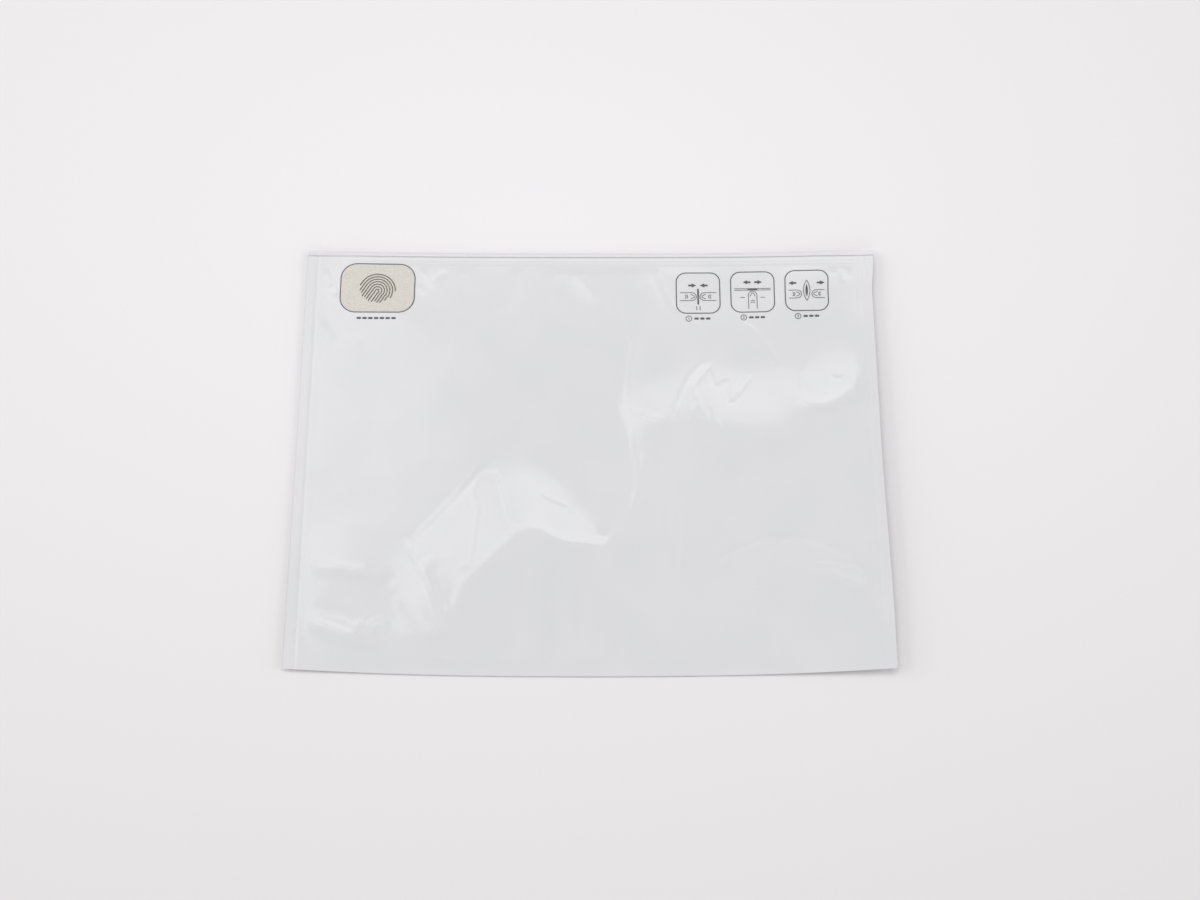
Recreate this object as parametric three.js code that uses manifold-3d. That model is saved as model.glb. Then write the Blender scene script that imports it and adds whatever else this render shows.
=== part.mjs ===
// A flat press-to-close mailing bag of white metallized film, lying on its back.
// Millimetres. X runs across the bag, Y runs towards the mouth, Z is up.
// The origin is on the table, under the middle of the bag.

import * as THREE from 'three';
import { mergeVertices } from 'three/addons/utils/BufferGeometryUtils.js';
import Module from 'manifold-3d';

const wasm = await Module();
wasm.setup();

// Outline of the bag
const bagWidth = 305;
const bagLength = 229;

// The welds have shrunk the seams a little lengthwise, so both ends bow towards the bottom,
// and the right side draws in below its corner
const mouthBow = 1;
const bottomBow = 3.8;
const bowPower = 2.4;
const rightDrawIn = 1.75;
const drawInPower = 4;
const drawInEnds = { bottom: [-0.85, 0.05], top: [0.77, 0.97] };

// Welded side seams
const seamWidth = 5.5;
const seamThickness = 0.6;

// Mouth: the back lip stands past the front lip, and the films part down to the strip
const frontLipStep = 2;
const mouthDepth = 2;
const mouthGap = 0.4;
const lipThickness = 1.4;

// Press-to-close strip just under the mouth, crushed flat and welded at both ends
const stripWidth = 4;
const stripThickness = 2.4;
const stripWeld = 3.5;
const stripShoulder = 9;

// Air left between the two films, and the rounded fold at the bottom
const pillowHeight = 5;
const pillowShoulder = 55;
const pillowRun = 42;
const foldHeight = 2;

// The sides curl up from the table, the right one more than the left
const flatHalfWidth = 58;
const leftLift = { top: 1.8, middle: 1.4, bottom: 2.2 };
const rightLift = { top: 2.4, middle: 4.4, bottom: 3.6 };

// Relief of the front film
const crestHeight = 1.7;
const fieldCrestHeight = 1.5;
const wedgeHeight = 1;
const streakHeight = 0.9;
const centreFoldDepth = 1.3;
const centreFoldLeftRun = 24;
const centreFoldRightRun = 16;
const gatherHeight = 0.9;
const gatherSpread = 5;
const slopeSharpness = 1.7;
const calmBesideSeam = 12;
const calmBesideStrip = 14;
const calmBesideFold = 16;

// Spacing of the points that carry the shape
const columnPitch = 7;
const rowPitch = 6.6;
const edgeStep = 3;
const foldSteps = [0, 0.15, 0.45, 1];
const inkStep = 4;
const cornerSteps = 4;
const roundSteps = 8;

// Print, a thin layer that stands just clear of the film
const inkClearance = 0.3;
const inkThickness = 0.3;
const inkLine = 0.75;
const fineInkLine = 0.55;

// Thumb pad near the left end of the strip
const padWidth = 38.6;
const padHeight = 26.9;
const padCorner = 7.8;
const padOutline = 0.65;
const padFromLeft = 18;
const padFromTop = 7.2;

// Thumb ridges on the pad: nested arches over a shallow bow
const ridgeCount = 5;
const ridgePitch = 1.9;
const ridgeLine = 0.7;
const archLeg = 0.7;
const archFootIn = 0.9;
const bowDrop = 0.85;
const bowReach = 0.62;
const bowSag = 1.5;

// Three step frames near the right end of the strip
const stepCount = 3;
const frameWidth = 23.4;
const frameHeight = 23.4;
const frameCorner = 5.2;
const frameGap = 5.2;
const framesFromRight = 24;
const framesFromTop = 11.1;
const frameDropPerStep = 0.35;

// Marks inside the frames
const fingerWidth = 4.6;
const fingerGap = 1;
const arrowLength = 4.2;
const arrowHead = 2.4;
const arrowShaft = 0.9;
const arrowRise = 4.2;
const markDrop = 2.1;
const markMargin = 1.9;
const slideLineRise = 1.5;
const openingWidth = 3.6;
const openingHeight = 12;
const openingSteps = 12;

// Plain bars where captions would stand
const captionHeight = 0.9;
const padCaptionWidth = 19.5;
const stepCaptionWidth = 12;
const captionDrop = 3;

// Colours
const filmColour = 0xdfdfe1;
const padColour = 0xd9d5cb;
const inkColour = 0x55534f;

const halfWidth = bagWidth / 2;
const halfLength = bagLength / 2;
const stripTop = frontLipStep + mouthDepth;
const stripMiddle = stripTop + stripWidth / 2;
const stripEnd = stripTop + stripWidth;

// Crests of the front film, as shares of the half width and half length,
// run left to right, with the reach of the slope on their far and near sides
const crests = [
  {
    height: crestHeight,
    farRun: 34,
    nearRun: 15,
    line: [[-0.99, -0.49], [-0.73, -0.57], [-0.6, -0.79], [-0.5, -0.81], [-0.42, -0.62],
      [-0.24, -0.36], [-0.15, -0.34], [-0.04, -0.42], [0.04, -0.42]],
  },
  {
    height: fieldCrestHeight,
    farRun: 40,
    nearRun: 16,
    line: [[0.11, 0.27], [0.22, 0.13], [0.38, 0.07], [0.58, 0.1], [0.73, 0.19], [0.96, 0.38]],
  },
  {
    height: wedgeHeight,
    farRun: 14,
    nearRun: 9,
    line: [[-0.97, -0.7], [-0.9, -0.77], [-0.8, -0.84]],
  },
  {
    height: streakHeight,
    farRun: 13,
    nearRun: 8,
    line: [[0.4, -0.56], [0.52, -0.44], [0.68, -0.36], [0.84, -0.4], [0.96, -0.49]],
  },
];

// The crease left where the bag was once folded in half
const centreFold = [[0.08, 0.84], [0.085, 0.3], [0.105, -0.1], [0.09, -0.35], [0.03, -0.44]];

// Gathers that run down from the strip: place across, and how far each reaches
const gathers = [
  { across: -0.93, reach: 20, strength: 0.8 },
  { across: -0.55, reach: 22, strength: 0.7 },
  { across: -0.27, reach: 28, strength: 0.6 },
  { across: -0.01, reach: 34, strength: 1 },
  { across: 0.27, reach: 20, strength: 0.6 },
  { across: 0.93, reach: 26, strength: 0.9 },
];

const clamp01 = (t) => Math.min(1, Math.max(0, t));
const lerp = (a, b, t) => a + (b - a) * t;

function ramp(t) {
  const s = clamp01(t);
  return s * s * (3 - 2 * s);
}

const placed = (line) => line.map(([u, v]) => new THREE.Vector2(u * halfWidth, v * halfLength));

// Distance to a line of points, positive on its left-hand side
function signedDistance(x, y, points) {
  let best = Infinity;
  let side = 1;
  for (let i = 0; i < points.length - 1; i += 1) {
    const a = points[i];
    const b = points[i + 1];
    const dx = b.x - a.x;
    const dy = b.y - a.y;
    const t = clamp01(((x - a.x) * dx + (y - a.y) * dy) / (dx * dx + dy * dy));
    const away = Math.hypot(x - a.x - t * dx, y - a.y - t * dy);
    if (away < best) {
      best = away;
      side = dx * (y - a.y) - dy * (x - a.x) < 0 ? -1 : 1;
    }
  }
  return side * best;
}

// A slope that is steepest beside its line and dies out at its run
function slope(distance, run) {
  return Math.pow(clamp01(1 - distance / run), slopeSharpness);
}

function twoSided(signed, leftRun, rightRun) {
  return signed > 0 ? slope(signed, leftRun) : slope(-signed, rightRun);
}

const crestLines = crests.map((crest) => placed(crest.line));
const centreFoldLine = placed(centreFold);

// How much of the relief shows: none on the seams, the strip and the bottom fold
function looseness(x, y) {
  const fromSeam = halfWidth - seamWidth - Math.abs(x);
  const fromStrip = halfLength - stripEnd - y;
  const fromFold = halfLength + y - foldHeight / 2;
  const besideEnds = ramp(fromStrip / calmBesideStrip) * ramp(fromFold / calmBesideFold);
  return ramp(fromSeam / calmBesideSeam) * besideEnds;
}

function relief(x, y) {
  let z = 0;
  crests.forEach((crest, i) => {
    const away = signedDistance(x, y, crestLines[i]);
    z += crest.height * twoSided(away, crest.farRun, crest.nearRun);
  });
  // The fold line runs towards the near side, so its left-hand side is the right of the bag
  const fromFoldLine = signedDistance(x, y, centreFoldLine);
  z -= centreFoldDepth * twoSided(fromFoldLine, centreFoldRightRun, centreFoldLeftRun);
  const fromStrip = Math.max(0, halfLength - stripEnd - y);
  gathers.forEach((gather) => {
    const across = (x - gather.across * halfWidth) / gatherSpread;
    const fade = slope(fromStrip, gather.reach);
    z += gatherHeight * gather.strength * Math.exp(-across * across) * fade;
  });
  return z * looseness(x, y);
}

// Height of the two films apart, where the bag is at its fullest across
function fullHeight(y) {
  const below = halfLength - y;
  const towardsLip = lerp(lipThickness, stripThickness, ramp(below / stripMiddle));
  const towardsMiddle = lerp(towardsLip, pillowHeight, ramp((below - stripEnd) / pillowRun));
  return lerp(foldHeight, towardsMiddle, ramp((halfLength + y) / pillowRun));
}

function localHeight(x, y) {
  const below = halfLength - y;
  const shoulder = lerp(stripShoulder, pillowShoulder, ramp((below - stripEnd) / pillowRun));
  const inward = clamp01((halfWidth - seamWidth - Math.abs(x)) / shoulder);
  return lerp(seamThickness, fullHeight(y), Math.sin((inward * Math.PI) / 2));
}

// How far each film draws in from its own plane as it turns round the bottom fold
function foldDraw(x, y) {
  const height = localHeight(x, y);
  const radius = height / 2;
  const inward = clamp01((halfLength + y) / radius);
  const draw = radius * (1 - Math.sqrt(1 - (1 - inward) ** 2));
  return Math.min(draw, (height - seamThickness) / 2);
}

function curl(x, y) {
  const lift = x < 0 ? leftLift : rightLift;
  const along = y / halfLength;
  const topShare = (along * (along + 1)) / 2;
  const bottomShare = (along * (along - 1)) / 2;
  const edge = lift.middle * (1 - along * along) + lift.top * topShare + lift.bottom * bottomShare;
  const out = Math.max(0, Math.abs(x) - flatHalfWidth) / (halfWidth - flatHalfWidth);
  return edge * out * out;
}

// The strip stands on the table, so the thinner back lip is held a little off it
function lipRise(x, y) {
  const below = halfLength - y;
  const stripHeight = localHeight(x, halfLength - stripMiddle);
  return below < stripMiddle ? Math.max(0, (stripHeight - localHeight(x, y)) / 2) : 0;
}

function backSurface(x, y) {
  return curl(x, y) + lipRise(x, y) + foldDraw(x, y);
}

function frontSurface(x, y) {
  return curl(x, y) + lipRise(x, y) + localHeight(x, y) - foldDraw(x, y) + relief(x, y);
}

// Even stations between two ends, no further apart than the pitch
function stations(from, to, pitch) {
  const steps = Math.ceil((to - from) / pitch);
  return Array.from({ length: steps + 1 }, (_, i) => lerp(from, to, i / steps));
}

function gridColumns() {
  const seam = [halfWidth, halfWidth - seamWidth];
  const inner = halfWidth - seamWidth - stripWeld;
  return [...seam.map((x) => -x), ...stations(-inner, inner, columnPitch), ...seam.reverse()];
}

function gridRows() {
  const roll = foldSteps.map((share) => (share * foldHeight) / 2 - halfLength);
  const strip = [stripEnd, stripMiddle, stripTop, frontLipStep, 0].map((below) => halfLength - below);
  const low = foldHeight / 2 - halfLength + edgeStep;
  const high = halfLength - stripEnd - edgeStep;
  return [...roll, ...stations(low, high, rowPitch), ...strip];
}

const columns = gridColumns();
const rows = gridRows();

// Closed solid between a lower and an upper height over a grid of columns and rows
function slab(xs, ys, lowerHeight, upperHeight) {
  const positions = [];
  const faces = [];
  const rowLength = ys.length;
  const layer = xs.length * rowLength;
  [lowerHeight, upperHeight].forEach((height) => {
    xs.forEach((x, i) => ys.forEach((y, j) => positions.push(x, y, height(x, y, i, j))));
  });
  const at = (i, j, top) => (top ? layer : 0) + i * rowLength + j;
  const quad = (a, b, c, d) => faces.push(a, b, c, a, c, d);
  for (let i = 0; i < xs.length - 1; i += 1) {
    for (let j = 0; j < rowLength - 1; j += 1) {
      quad(at(i, j, true), at(i + 1, j, true), at(i + 1, j + 1, true), at(i, j + 1, true));
      quad(at(i, j, false), at(i, j + 1, false), at(i + 1, j + 1, false), at(i + 1, j, false));
    }
    const last = rowLength - 1;
    quad(at(i, 0, false), at(i + 1, 0, false), at(i + 1, 0, true), at(i, 0, true));
    quad(at(i + 1, last, false), at(i, last, false), at(i, last, true), at(i + 1, last, true));
  }
  for (let j = 0; j < rowLength - 1; j += 1) {
    const end = xs.length - 1;
    quad(at(0, j + 1, false), at(0, j, false), at(0, j, true), at(0, j + 1, true));
    quad(at(end, j, false), at(end, j + 1, false), at(end, j + 1, true), at(end, j, true));
  }
  const geometry = new THREE.BufferGeometry();
  geometry.setAttribute('position', new THREE.Float32BufferAttribute(positions, 3));
  geometry.setIndex(faces);
  return geometry;
}

function toSolid(geometry) {
  const merged = mergeVertices(geometry, 1e-4);
  return new wasm.Manifold(new wasm.Mesh({
    numProp: 3,
    vertProperties: new Float32Array(merged.attributes.position.array),
    triVerts: new Uint32Array(merged.index.array),
  }));
}

function toGeometry(solid) {
  const mesh = solid.getMesh();
  const geometry = new THREE.BufferGeometry();
  geometry.setAttribute('position', new THREE.BufferAttribute(mesh.vertProperties, 3));
  geometry.setIndex(new THREE.BufferAttribute(mesh.triVerts, 1));
  return geometry;
}

// Half way between the films, and on past the edge of the back lip
function betweenLips(x, y) {
  const inside = Math.min(y, halfLength);
  return (backSurface(x, inside) + frontSurface(x, inside)) / 2;
}

// The mouth: a thin slot between the lips that ends at the welded ends of the strip
function mouthSlot(xs, past) {
  const ys = [halfLength - stripTop, halfLength - frontLipStep, past];
  const low = (x, y) => betweenLips(x, y) - mouthGap / 2;
  const high = (x, y) => betweenLips(x, y) + mouthGap / 2;
  return toSolid(slab(xs, ys, low, high));
}

// The front film ends short of the back film, so the back lip can be picked up
function lipStepCut(xs, past) {
  const clear = (x, y) => betweenLips(x, y) + stripThickness;
  return toSolid(slab(xs, [halfLength - frontLipStep, past], betweenLips, clear));
}

function bagBody() {
  const openEnd = halfWidth - seamWidth - stripWeld / 2;
  const xs = columns.filter((x) => Math.abs(x) < openEnd);
  const past = halfLength + edgeStep;
  const closed = toSolid(slab(columns, rows, backSurface, frontSurface));
  return toGeometry(closed.subtract(mouthSlot(xs, past)).subtract(lipStepCut(xs, past)));
}

// Index of the cell of a rising list that holds a value
function cellOf(list, value) {
  const found = list.findIndex((edge) => edge > value);
  return Math.min(list.length - 2, Math.max(0, (found < 0 ? list.length : found) - 1));
}

// Height of the faceted front film, on the same triangles as the solid
function filmAt(x, y) {
  const i = cellOf(columns, x);
  const j = cellOf(rows, y);
  const [x0, x1, y0, y1] = [columns[i], columns[i + 1], rows[j], rows[j + 1]];
  const s = (x - x0) / (x1 - x0);
  const t = (y - y0) / (y1 - y0);
  const near = frontSurface(x0, y0);
  const far = frontSurface(x1, y1);
  const corner = s > t ? frontSurface(x1, y0) : frontSurface(x0, y1);
  return s > t
    ? near + (corner - near) * s + (far - corner) * t
    : near + (far - corner) * s + (corner - near) * t;
}

// Lays a flat piece of print over the film at a level above it
function drape(geometry, level) {
  const place = geometry.attributes.position;
  for (let i = 0; i < place.count; i += 1) {
    place.setZ(i, place.getZ(i) + filmAt(place.getX(i), place.getY(i)) + level);
  }
  return geometry;
}

// Points every few millimetres along a line, its corners kept
function resampled(points, closed) {
  const ends = closed ? [...points, points[0]] : points;
  const result = [];
  for (let i = 0; i < ends.length - 1; i += 1) {
    const steps = Math.max(1, Math.ceil(ends[i].distanceTo(ends[i + 1]) / inkStep));
    for (let k = 0; k < steps; k += 1) {
      result.push(ends[i].clone().lerp(ends[i + 1], k / steps));
    }
  }
  return closed ? result : [...result, ends[ends.length - 1].clone()];
}

// A mitred corner is never drawn out further than this share allows
const sharpestMitre = 0.5;

// A drawn line of a given width, as a thin closed ribbon along its points
function stroke(points, width, closed) {
  const path = resampled(points, closed);
  const count = path.length;
  const positions = [];
  path.forEach((point, i) => {
    const before = path[closed ? (i - 1 + count) % count : Math.max(0, i - 1)];
    const after = path[closed ? (i + 1) % count : Math.min(count - 1, i + 1)];
    const into = point.clone().sub(before).normalize();
    const out = after.clone().sub(point).normalize();
    const along = into.clone().add(out).normalize();
    const across = new THREE.Vector2(-along.y, along.x);
    const turn = into.lengthSq() > 0 && out.lengthSq() > 0 ? along.dot(out) : 1;
    const half = width / 2 / Math.max(sharpestMitre, turn);
    [[1, 0], [-1, 0], [-1, inkThickness], [1, inkThickness]].forEach(([side, z]) => {
      positions.push(point.x + side * half * across.x, point.y + side * half * across.y, z);
    });
  });
  const faces = [];
  const segments = closed ? count : count - 1;
  for (let i = 0; i < segments; i += 1) {
    const here = i * 4;
    const next = ((i + 1) % count) * 4;
    for (let k = 0; k < 4; k += 1) {
      const l = (k + 1) % 4;
      faces.push(here + k, next + l, here + l, here + k, next + k, next + l);
    }
  }
  if (!closed) {
    const end = (count - 1) * 4;
    faces.push(0, 1, 2, 0, 2, 3);
    faces.push(end, end + 2, end + 1, end, end + 3, end + 2);
  }
  const geometry = new THREE.BufferGeometry();
  geometry.setAttribute('position', new THREE.Float32BufferAttribute(positions, 3));
  geometry.setIndex(faces);
  return geometry;
}

// Round-cornered rectangle as a closed list of points, anticlockwise
function roundedOutline(centre, width, height, corner) {
  const points = [];
  const turns = [[1, 1, 0], [-1, 1, 1], [-1, -1, 2], [1, -1, 3]];
  turns.forEach(([sx, sy, quarter]) => {
    for (let k = 0; k <= cornerSteps; k += 1) {
      const angle = ((quarter + k / cornerSteps) * Math.PI) / 2;
      points.push(new THREE.Vector2(
        centre.x + sx * (width / 2 - corner) + corner * Math.cos(angle),
        centre.y + sy * (height / 2 - corner) + corner * Math.sin(angle),
      ));
    }
  });
  return points;
}

function filled(points) {
  return new THREE.ExtrudeGeometry(new THREE.Shape(points), { depth: inkThickness, bevelEnabled: false });
}

const filmMaterial = new THREE.MeshStandardMaterial({ color: filmColour, roughness: 0.28, metalness: 0.15 });
const padMaterial = new THREE.MeshStandardMaterial({ color: padColour, roughness: 0.7, metalness: 0 });
const inkMaterial = new THREE.MeshStandardMaterial({ color: inkColour, roughness: 0.5, metalness: 0 });

const bag = new THREE.Group();

// Moves each point of the flat plan to its place in the bowed one
function bowed(geometry) {
  const place = geometry.attributes.position;
  for (let i = 0; i < place.count; i += 1) {
    const x = place.getX(i);
    const y = place.getY(i);
    const share = Math.abs(x / halfWidth) ** bowPower;
    const along = (y + halfLength) / bagLength;
    const shift = lerp(bottomBow * share, mouthBow * (share - 1), along);
    const [near, far] = [drawInEnds.bottom, drawInEnds.top];
    const level = y / halfLength;
    const drawn = ramp((level - near[0]) / (near[1] - near[0])) * ramp((far[1] - level) / (far[1] - far[0]));
    const inward = rightDrawIn * drawn * Math.max(0, x / halfWidth) ** drawInPower;
    place.setXY(i, x - inward, y + shift);
  }
  return geometry;
}

function add(name, geometry, material) {
  const mesh = new THREE.Mesh(bowed(geometry), material);
  mesh.name = name;
  bag.add(mesh);
}

const onFilm = inkClearance;
const onPad = inkClearance + inkThickness + inkClearance;

// Thumb pad: a grained field inside a dark outline
const padBorder = padOutline + inkClearance;
const padCentre = new THREE.Vector2(
  padFromLeft + padBorder + padWidth / 2 - halfWidth,
  halfLength - padFromTop - padBorder - padHeight / 2,
);

function padField() {
  const xs = stations(-padWidth / 2, padWidth / 2, inkStep);
  const shares = stations(0, padHeight, inkStep).map((y) => y / padHeight);
  const sideOf = (x) => {
    const into = Math.max(0, Math.abs(x) - (padWidth / 2 - padCorner));
    return padHeight / 2 - padCorner + Math.sqrt(Math.max(0, padCorner ** 2 - into ** 2));
  };
  const geometry = slab(xs, shares, () => 0, () => inkThickness);
  const place = geometry.attributes.position;
  for (let i = 0; i < place.count; i += 1) {
    const x = place.getX(i);
    const half = sideOf(x);
    place.setXY(i, padCentre.x + x, padCentre.y + lerp(-half, half, place.getY(i)));
  }
  return geometry;
}

function padParts() {
  add('pinch_pad', drape(padField(), onFilm), padMaterial);
  const ringWidth = padWidth + 2 * inkClearance + padOutline;
  const ringHeight = padHeight + 2 * inkClearance + padOutline;
  const ringCorner = padCorner + inkClearance + padOutline / 2;
  const ring = roundedOutline(padCentre, ringWidth, ringHeight, ringCorner);
  add('pinch_pad_outline', drape(stroke(ring, padOutline, true), onFilm), inkMaterial);
}

const offset = (centre, x, y) => new THREE.Vector2(centre.x + x, centre.y + y);

// One arch of the thumb mark, its feet drawn in a little below the round top
function archPoints(radius) {
  const points = [offset(padCentre, -radius * archFootIn, -radius * archLeg)];
  for (let k = 0; k <= roundSteps; k += 1) {
    const angle = Math.PI * (1 - k / roundSteps);
    points.push(offset(padCentre, radius * Math.cos(angle), radius * Math.sin(angle)));
  }
  points.push(offset(padCentre, radius * archFootIn, -radius * archLeg));
  return points;
}

function bowPoints(radius) {
  return stations(-1, 1, 0.5).map((share) => {
    const sag = bowSag * share * share;
    return offset(padCentre, share * radius * bowReach, -radius * bowDrop - sag);
  });
}

function thumbRidges() {
  for (let i = 1; i <= ridgeCount; i += 1) {
    const arch = stroke(archPoints(i * ridgePitch), ridgeLine, false);
    add(`thumb_ridge_${i}`, drape(arch, onPad), inkMaterial);
  }
  const bow = stroke(bowPoints(ridgeCount * ridgePitch), ridgeLine, false);
  add('thumb_ridge_base', drape(bow, onPad), inkMaterial);
}

// A fingertip drawn as a U of a given length, with its round end at the tip
function fingertip(tip, direction, length) {
  const radius = fingerWidth / 2;
  const across = new THREE.Vector2(-direction.y, direction.x);
  const at = (back, side) => tip.clone().addScaledVector(direction, -back).addScaledVector(across, side);
  const points = [at(length, radius)];
  for (let k = 0; k <= roundSteps; k += 1) {
    const angle = (Math.PI * k) / roundSteps;
    points.push(at(radius - radius * Math.sin(angle), radius * Math.cos(angle)));
  }
  points.push(at(length, -radius));
  return stroke(points, fineInkLine, false);
}

// A solid arrow with its point at the tip
function arrow(tip, direction) {
  const across = new THREE.Vector2(-direction.y, direction.x);
  const at = (back, side) => tip.clone().addScaledVector(direction, -back).addScaledVector(across, side);
  return filled([
    at(0, 0),
    at(arrowHead, arrowHead / 2),
    at(arrowHead, arrowShaft / 2),
    at(arrowLength, arrowShaft / 2),
    at(arrowLength, -arrowShaft / 2),
    at(arrowHead, -arrowShaft / 2),
    at(arrowHead, -arrowHead / 2),
  ]);
}

const left = new THREE.Vector2(-1, 0);
const right = new THREE.Vector2(1, 0);
const up = new THREE.Vector2(0, 1);

function frameCentre(step) {
  const back = stepCount - step;
  const pitch = frameWidth + inkLine + frameGap;
  return new THREE.Vector2(
    halfWidth - framesFromRight - (frameWidth + inkLine) / 2 - back * pitch,
    halfLength - framesFromTop - (frameHeight + inkLine) / 2 - back * frameDropPerStep,
  );
}

const markReach = frameWidth / 2 - markMargin;
const arrowLevel = fingerWidth / 2 + arrowRise - markDrop;

// Step 1: two fingertips press on an edge, with an arrow over each
function pinchMarks(centre) {
  const edge = [offset(centre, 0, -markDrop - fingerWidth), offset(centre, 0, fingerWidth - markDrop)];
  const length = markReach - fingerGap;
  return {
    edge: stroke(edge, fineInkLine, false),
    finger_left: fingertip(offset(centre, -fingerGap, -markDrop), right, length),
    finger_right: fingertip(offset(centre, fingerGap, -markDrop), left, length),
    arrow_left: arrow(offset(centre, -fingerGap, arrowLevel), right),
    arrow_right: arrow(offset(centre, fingerGap, arrowLevel), left),
  };
}

// Step 2: one fingertip under a long line, with an arrow each way over it
function slideMarks(centre) {
  const line = [offset(centre, -markReach, slideLineRise), offset(centre, markReach, slideLineRise)];
  const tipLevel = slideLineRise - fingerGap;
  const length = tipLevel + frameHeight / 2 - markMargin;
  const arrowTip = fingerGap + arrowLength;
  return {
    line: stroke(line, fineInkLine, false),
    finger: fingertip(offset(centre, 0, tipLevel), up, length),
    arrow_left: arrow(offset(centre, -arrowTip, slideLineRise + arrowRise), left),
    arrow_right: arrow(offset(centre, arrowTip, slideLineRise + arrowRise), right),
  };
}

// Step 3: a leaf-shaped opening between two fingertips that draw apart
function openMarks(centre) {
  const leaf = [];
  for (let k = 0; k < openingSteps; k += 1) {
    const angle = (Math.PI * 2 * k) / openingSteps;
    const bulge = Math.sin(angle) * Math.abs(Math.sin(angle));
    leaf.push(offset(centre, (openingWidth / 2) * bulge, (openingHeight / 2) * Math.cos(angle)));
  }
  const side = openingWidth / 2 + fingerGap;
  const length = markReach - side;
  return {
    opening: stroke(leaf, fineInkLine, true),
    finger_left: fingertip(offset(centre, -side, -markDrop), right, length),
    finger_right: fingertip(offset(centre, side, -markDrop), left, length),
    arrow_left: arrow(offset(centre, -markReach, arrowLevel), left),
    arrow_right: arrow(offset(centre, markReach, arrowLevel), right),
  };
}

function captionBar(centre, width) {
  const half = width / 2;
  return stroke([offset(centre, -half, 0), offset(centre, half, 0)], captionHeight, false);
}

function stepParts() {
  const markMakers = [pinchMarks, slideMarks, openMarks];
  for (let step = 1; step <= stepCount; step += 1) {
    const centre = frameCentre(step);
    const outline = roundedOutline(centre, frameWidth, frameHeight, frameCorner);
    add(`step_${step}_frame`, drape(stroke(outline, inkLine, true), onFilm), inkMaterial);
    const marks = markMakers[(step - 1) % markMakers.length](centre);
    Object.entries(marks).forEach(([name, geometry]) => {
      add(`step_${step}_${name}`, drape(geometry, onFilm), inkMaterial);
    });
    const under = offset(centre, 0, -frameHeight / 2 - captionDrop);
    add(`step_${step}_caption_bar`, drape(captionBar(under, stepCaptionWidth), onFilm), inkMaterial);
  }
}

add('bag', bagBody(), filmMaterial);
padParts();
thumbRidges();
const underPad = offset(padCentre, 0, -padHeight / 2 - captionDrop);
add('pad_caption_bar', drape(captionBar(underPad, padCaptionWidth), onFilm), inkMaterial);
stepParts();

export default bag;
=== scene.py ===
from math import cos, pi, radians, sin

import bmesh
import bpy
import numpy as np
from mathutils import Matrix, Vector, geometry, noise
from mathutils.bvhtree import BVHTree


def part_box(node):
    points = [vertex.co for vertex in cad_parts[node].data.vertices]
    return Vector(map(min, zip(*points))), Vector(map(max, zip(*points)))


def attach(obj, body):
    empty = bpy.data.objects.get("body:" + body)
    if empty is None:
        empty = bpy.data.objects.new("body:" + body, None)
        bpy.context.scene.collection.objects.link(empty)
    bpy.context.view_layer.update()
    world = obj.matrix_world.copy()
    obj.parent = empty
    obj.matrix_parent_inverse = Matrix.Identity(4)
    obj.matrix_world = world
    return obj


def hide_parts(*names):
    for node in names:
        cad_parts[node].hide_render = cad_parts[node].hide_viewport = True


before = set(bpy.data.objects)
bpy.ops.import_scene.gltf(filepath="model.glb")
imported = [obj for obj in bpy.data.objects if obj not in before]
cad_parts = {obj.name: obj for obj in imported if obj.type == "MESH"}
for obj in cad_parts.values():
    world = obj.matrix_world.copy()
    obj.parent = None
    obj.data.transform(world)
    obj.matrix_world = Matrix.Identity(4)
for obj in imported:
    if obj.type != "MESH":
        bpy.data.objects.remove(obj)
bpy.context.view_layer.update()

# A flat press-to-close mailing bag of glossy white metallized film, lying on its back.
# Sizes are in millimetres and become metres where a mesh is made.
MM = 0.001

# The bag's outline, from the frame
bag_low, bag_high = (np.array(corner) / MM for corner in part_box("bag"))
HALF_WIDTH = (bag_high[0] - bag_low[0]) / 2
HALF_LENGTH = (bag_high[1] - bag_low[1]) / 2

# Film, seams, strip and lips
FILM = 0.13
SEAM_WIDTH = 5.5
SEAM_HEIGHT = 0.35
LIP_STEP = 2.7
MOUTH_DEPTH = 1.6
LIP_RIM = 0.9
LIP_UPTURN = 0.1
LIP_HEIGHT = 1.1
STRIP_WIDTH = 4.0
STRIP_HEIGHT = 1.35
STRIP_WELD = 3.5
STRIP_SHOULDER = 26.0
STRIP_TOP = LIP_STEP + MOUTH_DEPTH
STRIP_MIDDLE = STRIP_TOP + STRIP_WIDTH / 2
STRIP_END = STRIP_TOP + STRIP_WIDTH

# Air between the films and the fold at the bottom
PILLOW_HEIGHT = 1.8
PILLOW_SHOULDER = 85.0
PILLOW_RUN = 60.0
FOLD_HEIGHT = 0.9

# Curl of the sides off the table: at the mouth, half way and at the bottom
FLAT_HALF_WIDTH = 58.0
LEFT_LIFT = (1.0, 0.7, 1.4)
RIGHT_LIFT = (2.2, 4.1, 3.4)

# The bowed plan: both ends bow towards the bottom, and the right side draws in below its corner
MOUTH_BOW = 1.0
BOTTOM_BOW = 3.8
BOW_POWER = 2.4
RIGHT_DRAW_IN = 1.75
DRAW_IN_POWER = 4
DRAW_IN_LOW = (-0.85, 0.05)
DRAW_IN_HIGH = (0.77, 0.97)

# Spacing of the film's points, closer along the mouth, the seams and the fold
FRONT_STEP = 0.95
EDGE_STEP = 0.35
EDGE_MARGIN = 1.5
FOLD_MARGIN = 3.0
BACK_STEP = 3.2
SHARP_ANGLE = 40
# Rows of the front lip's edge that carry the painted shade line
LIP_SHADE_ROWS = 2

# Print: thin layers of ink that lie just over the film
PRINT_CLEARANCE = 0.07
PRINT_THICKNESS = 0.03
PRINT_STEP = 0.8
PRINT_MERGE = 0.005
INK_LINE = 0.5
FINE_INK_LINE = 0.32

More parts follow.
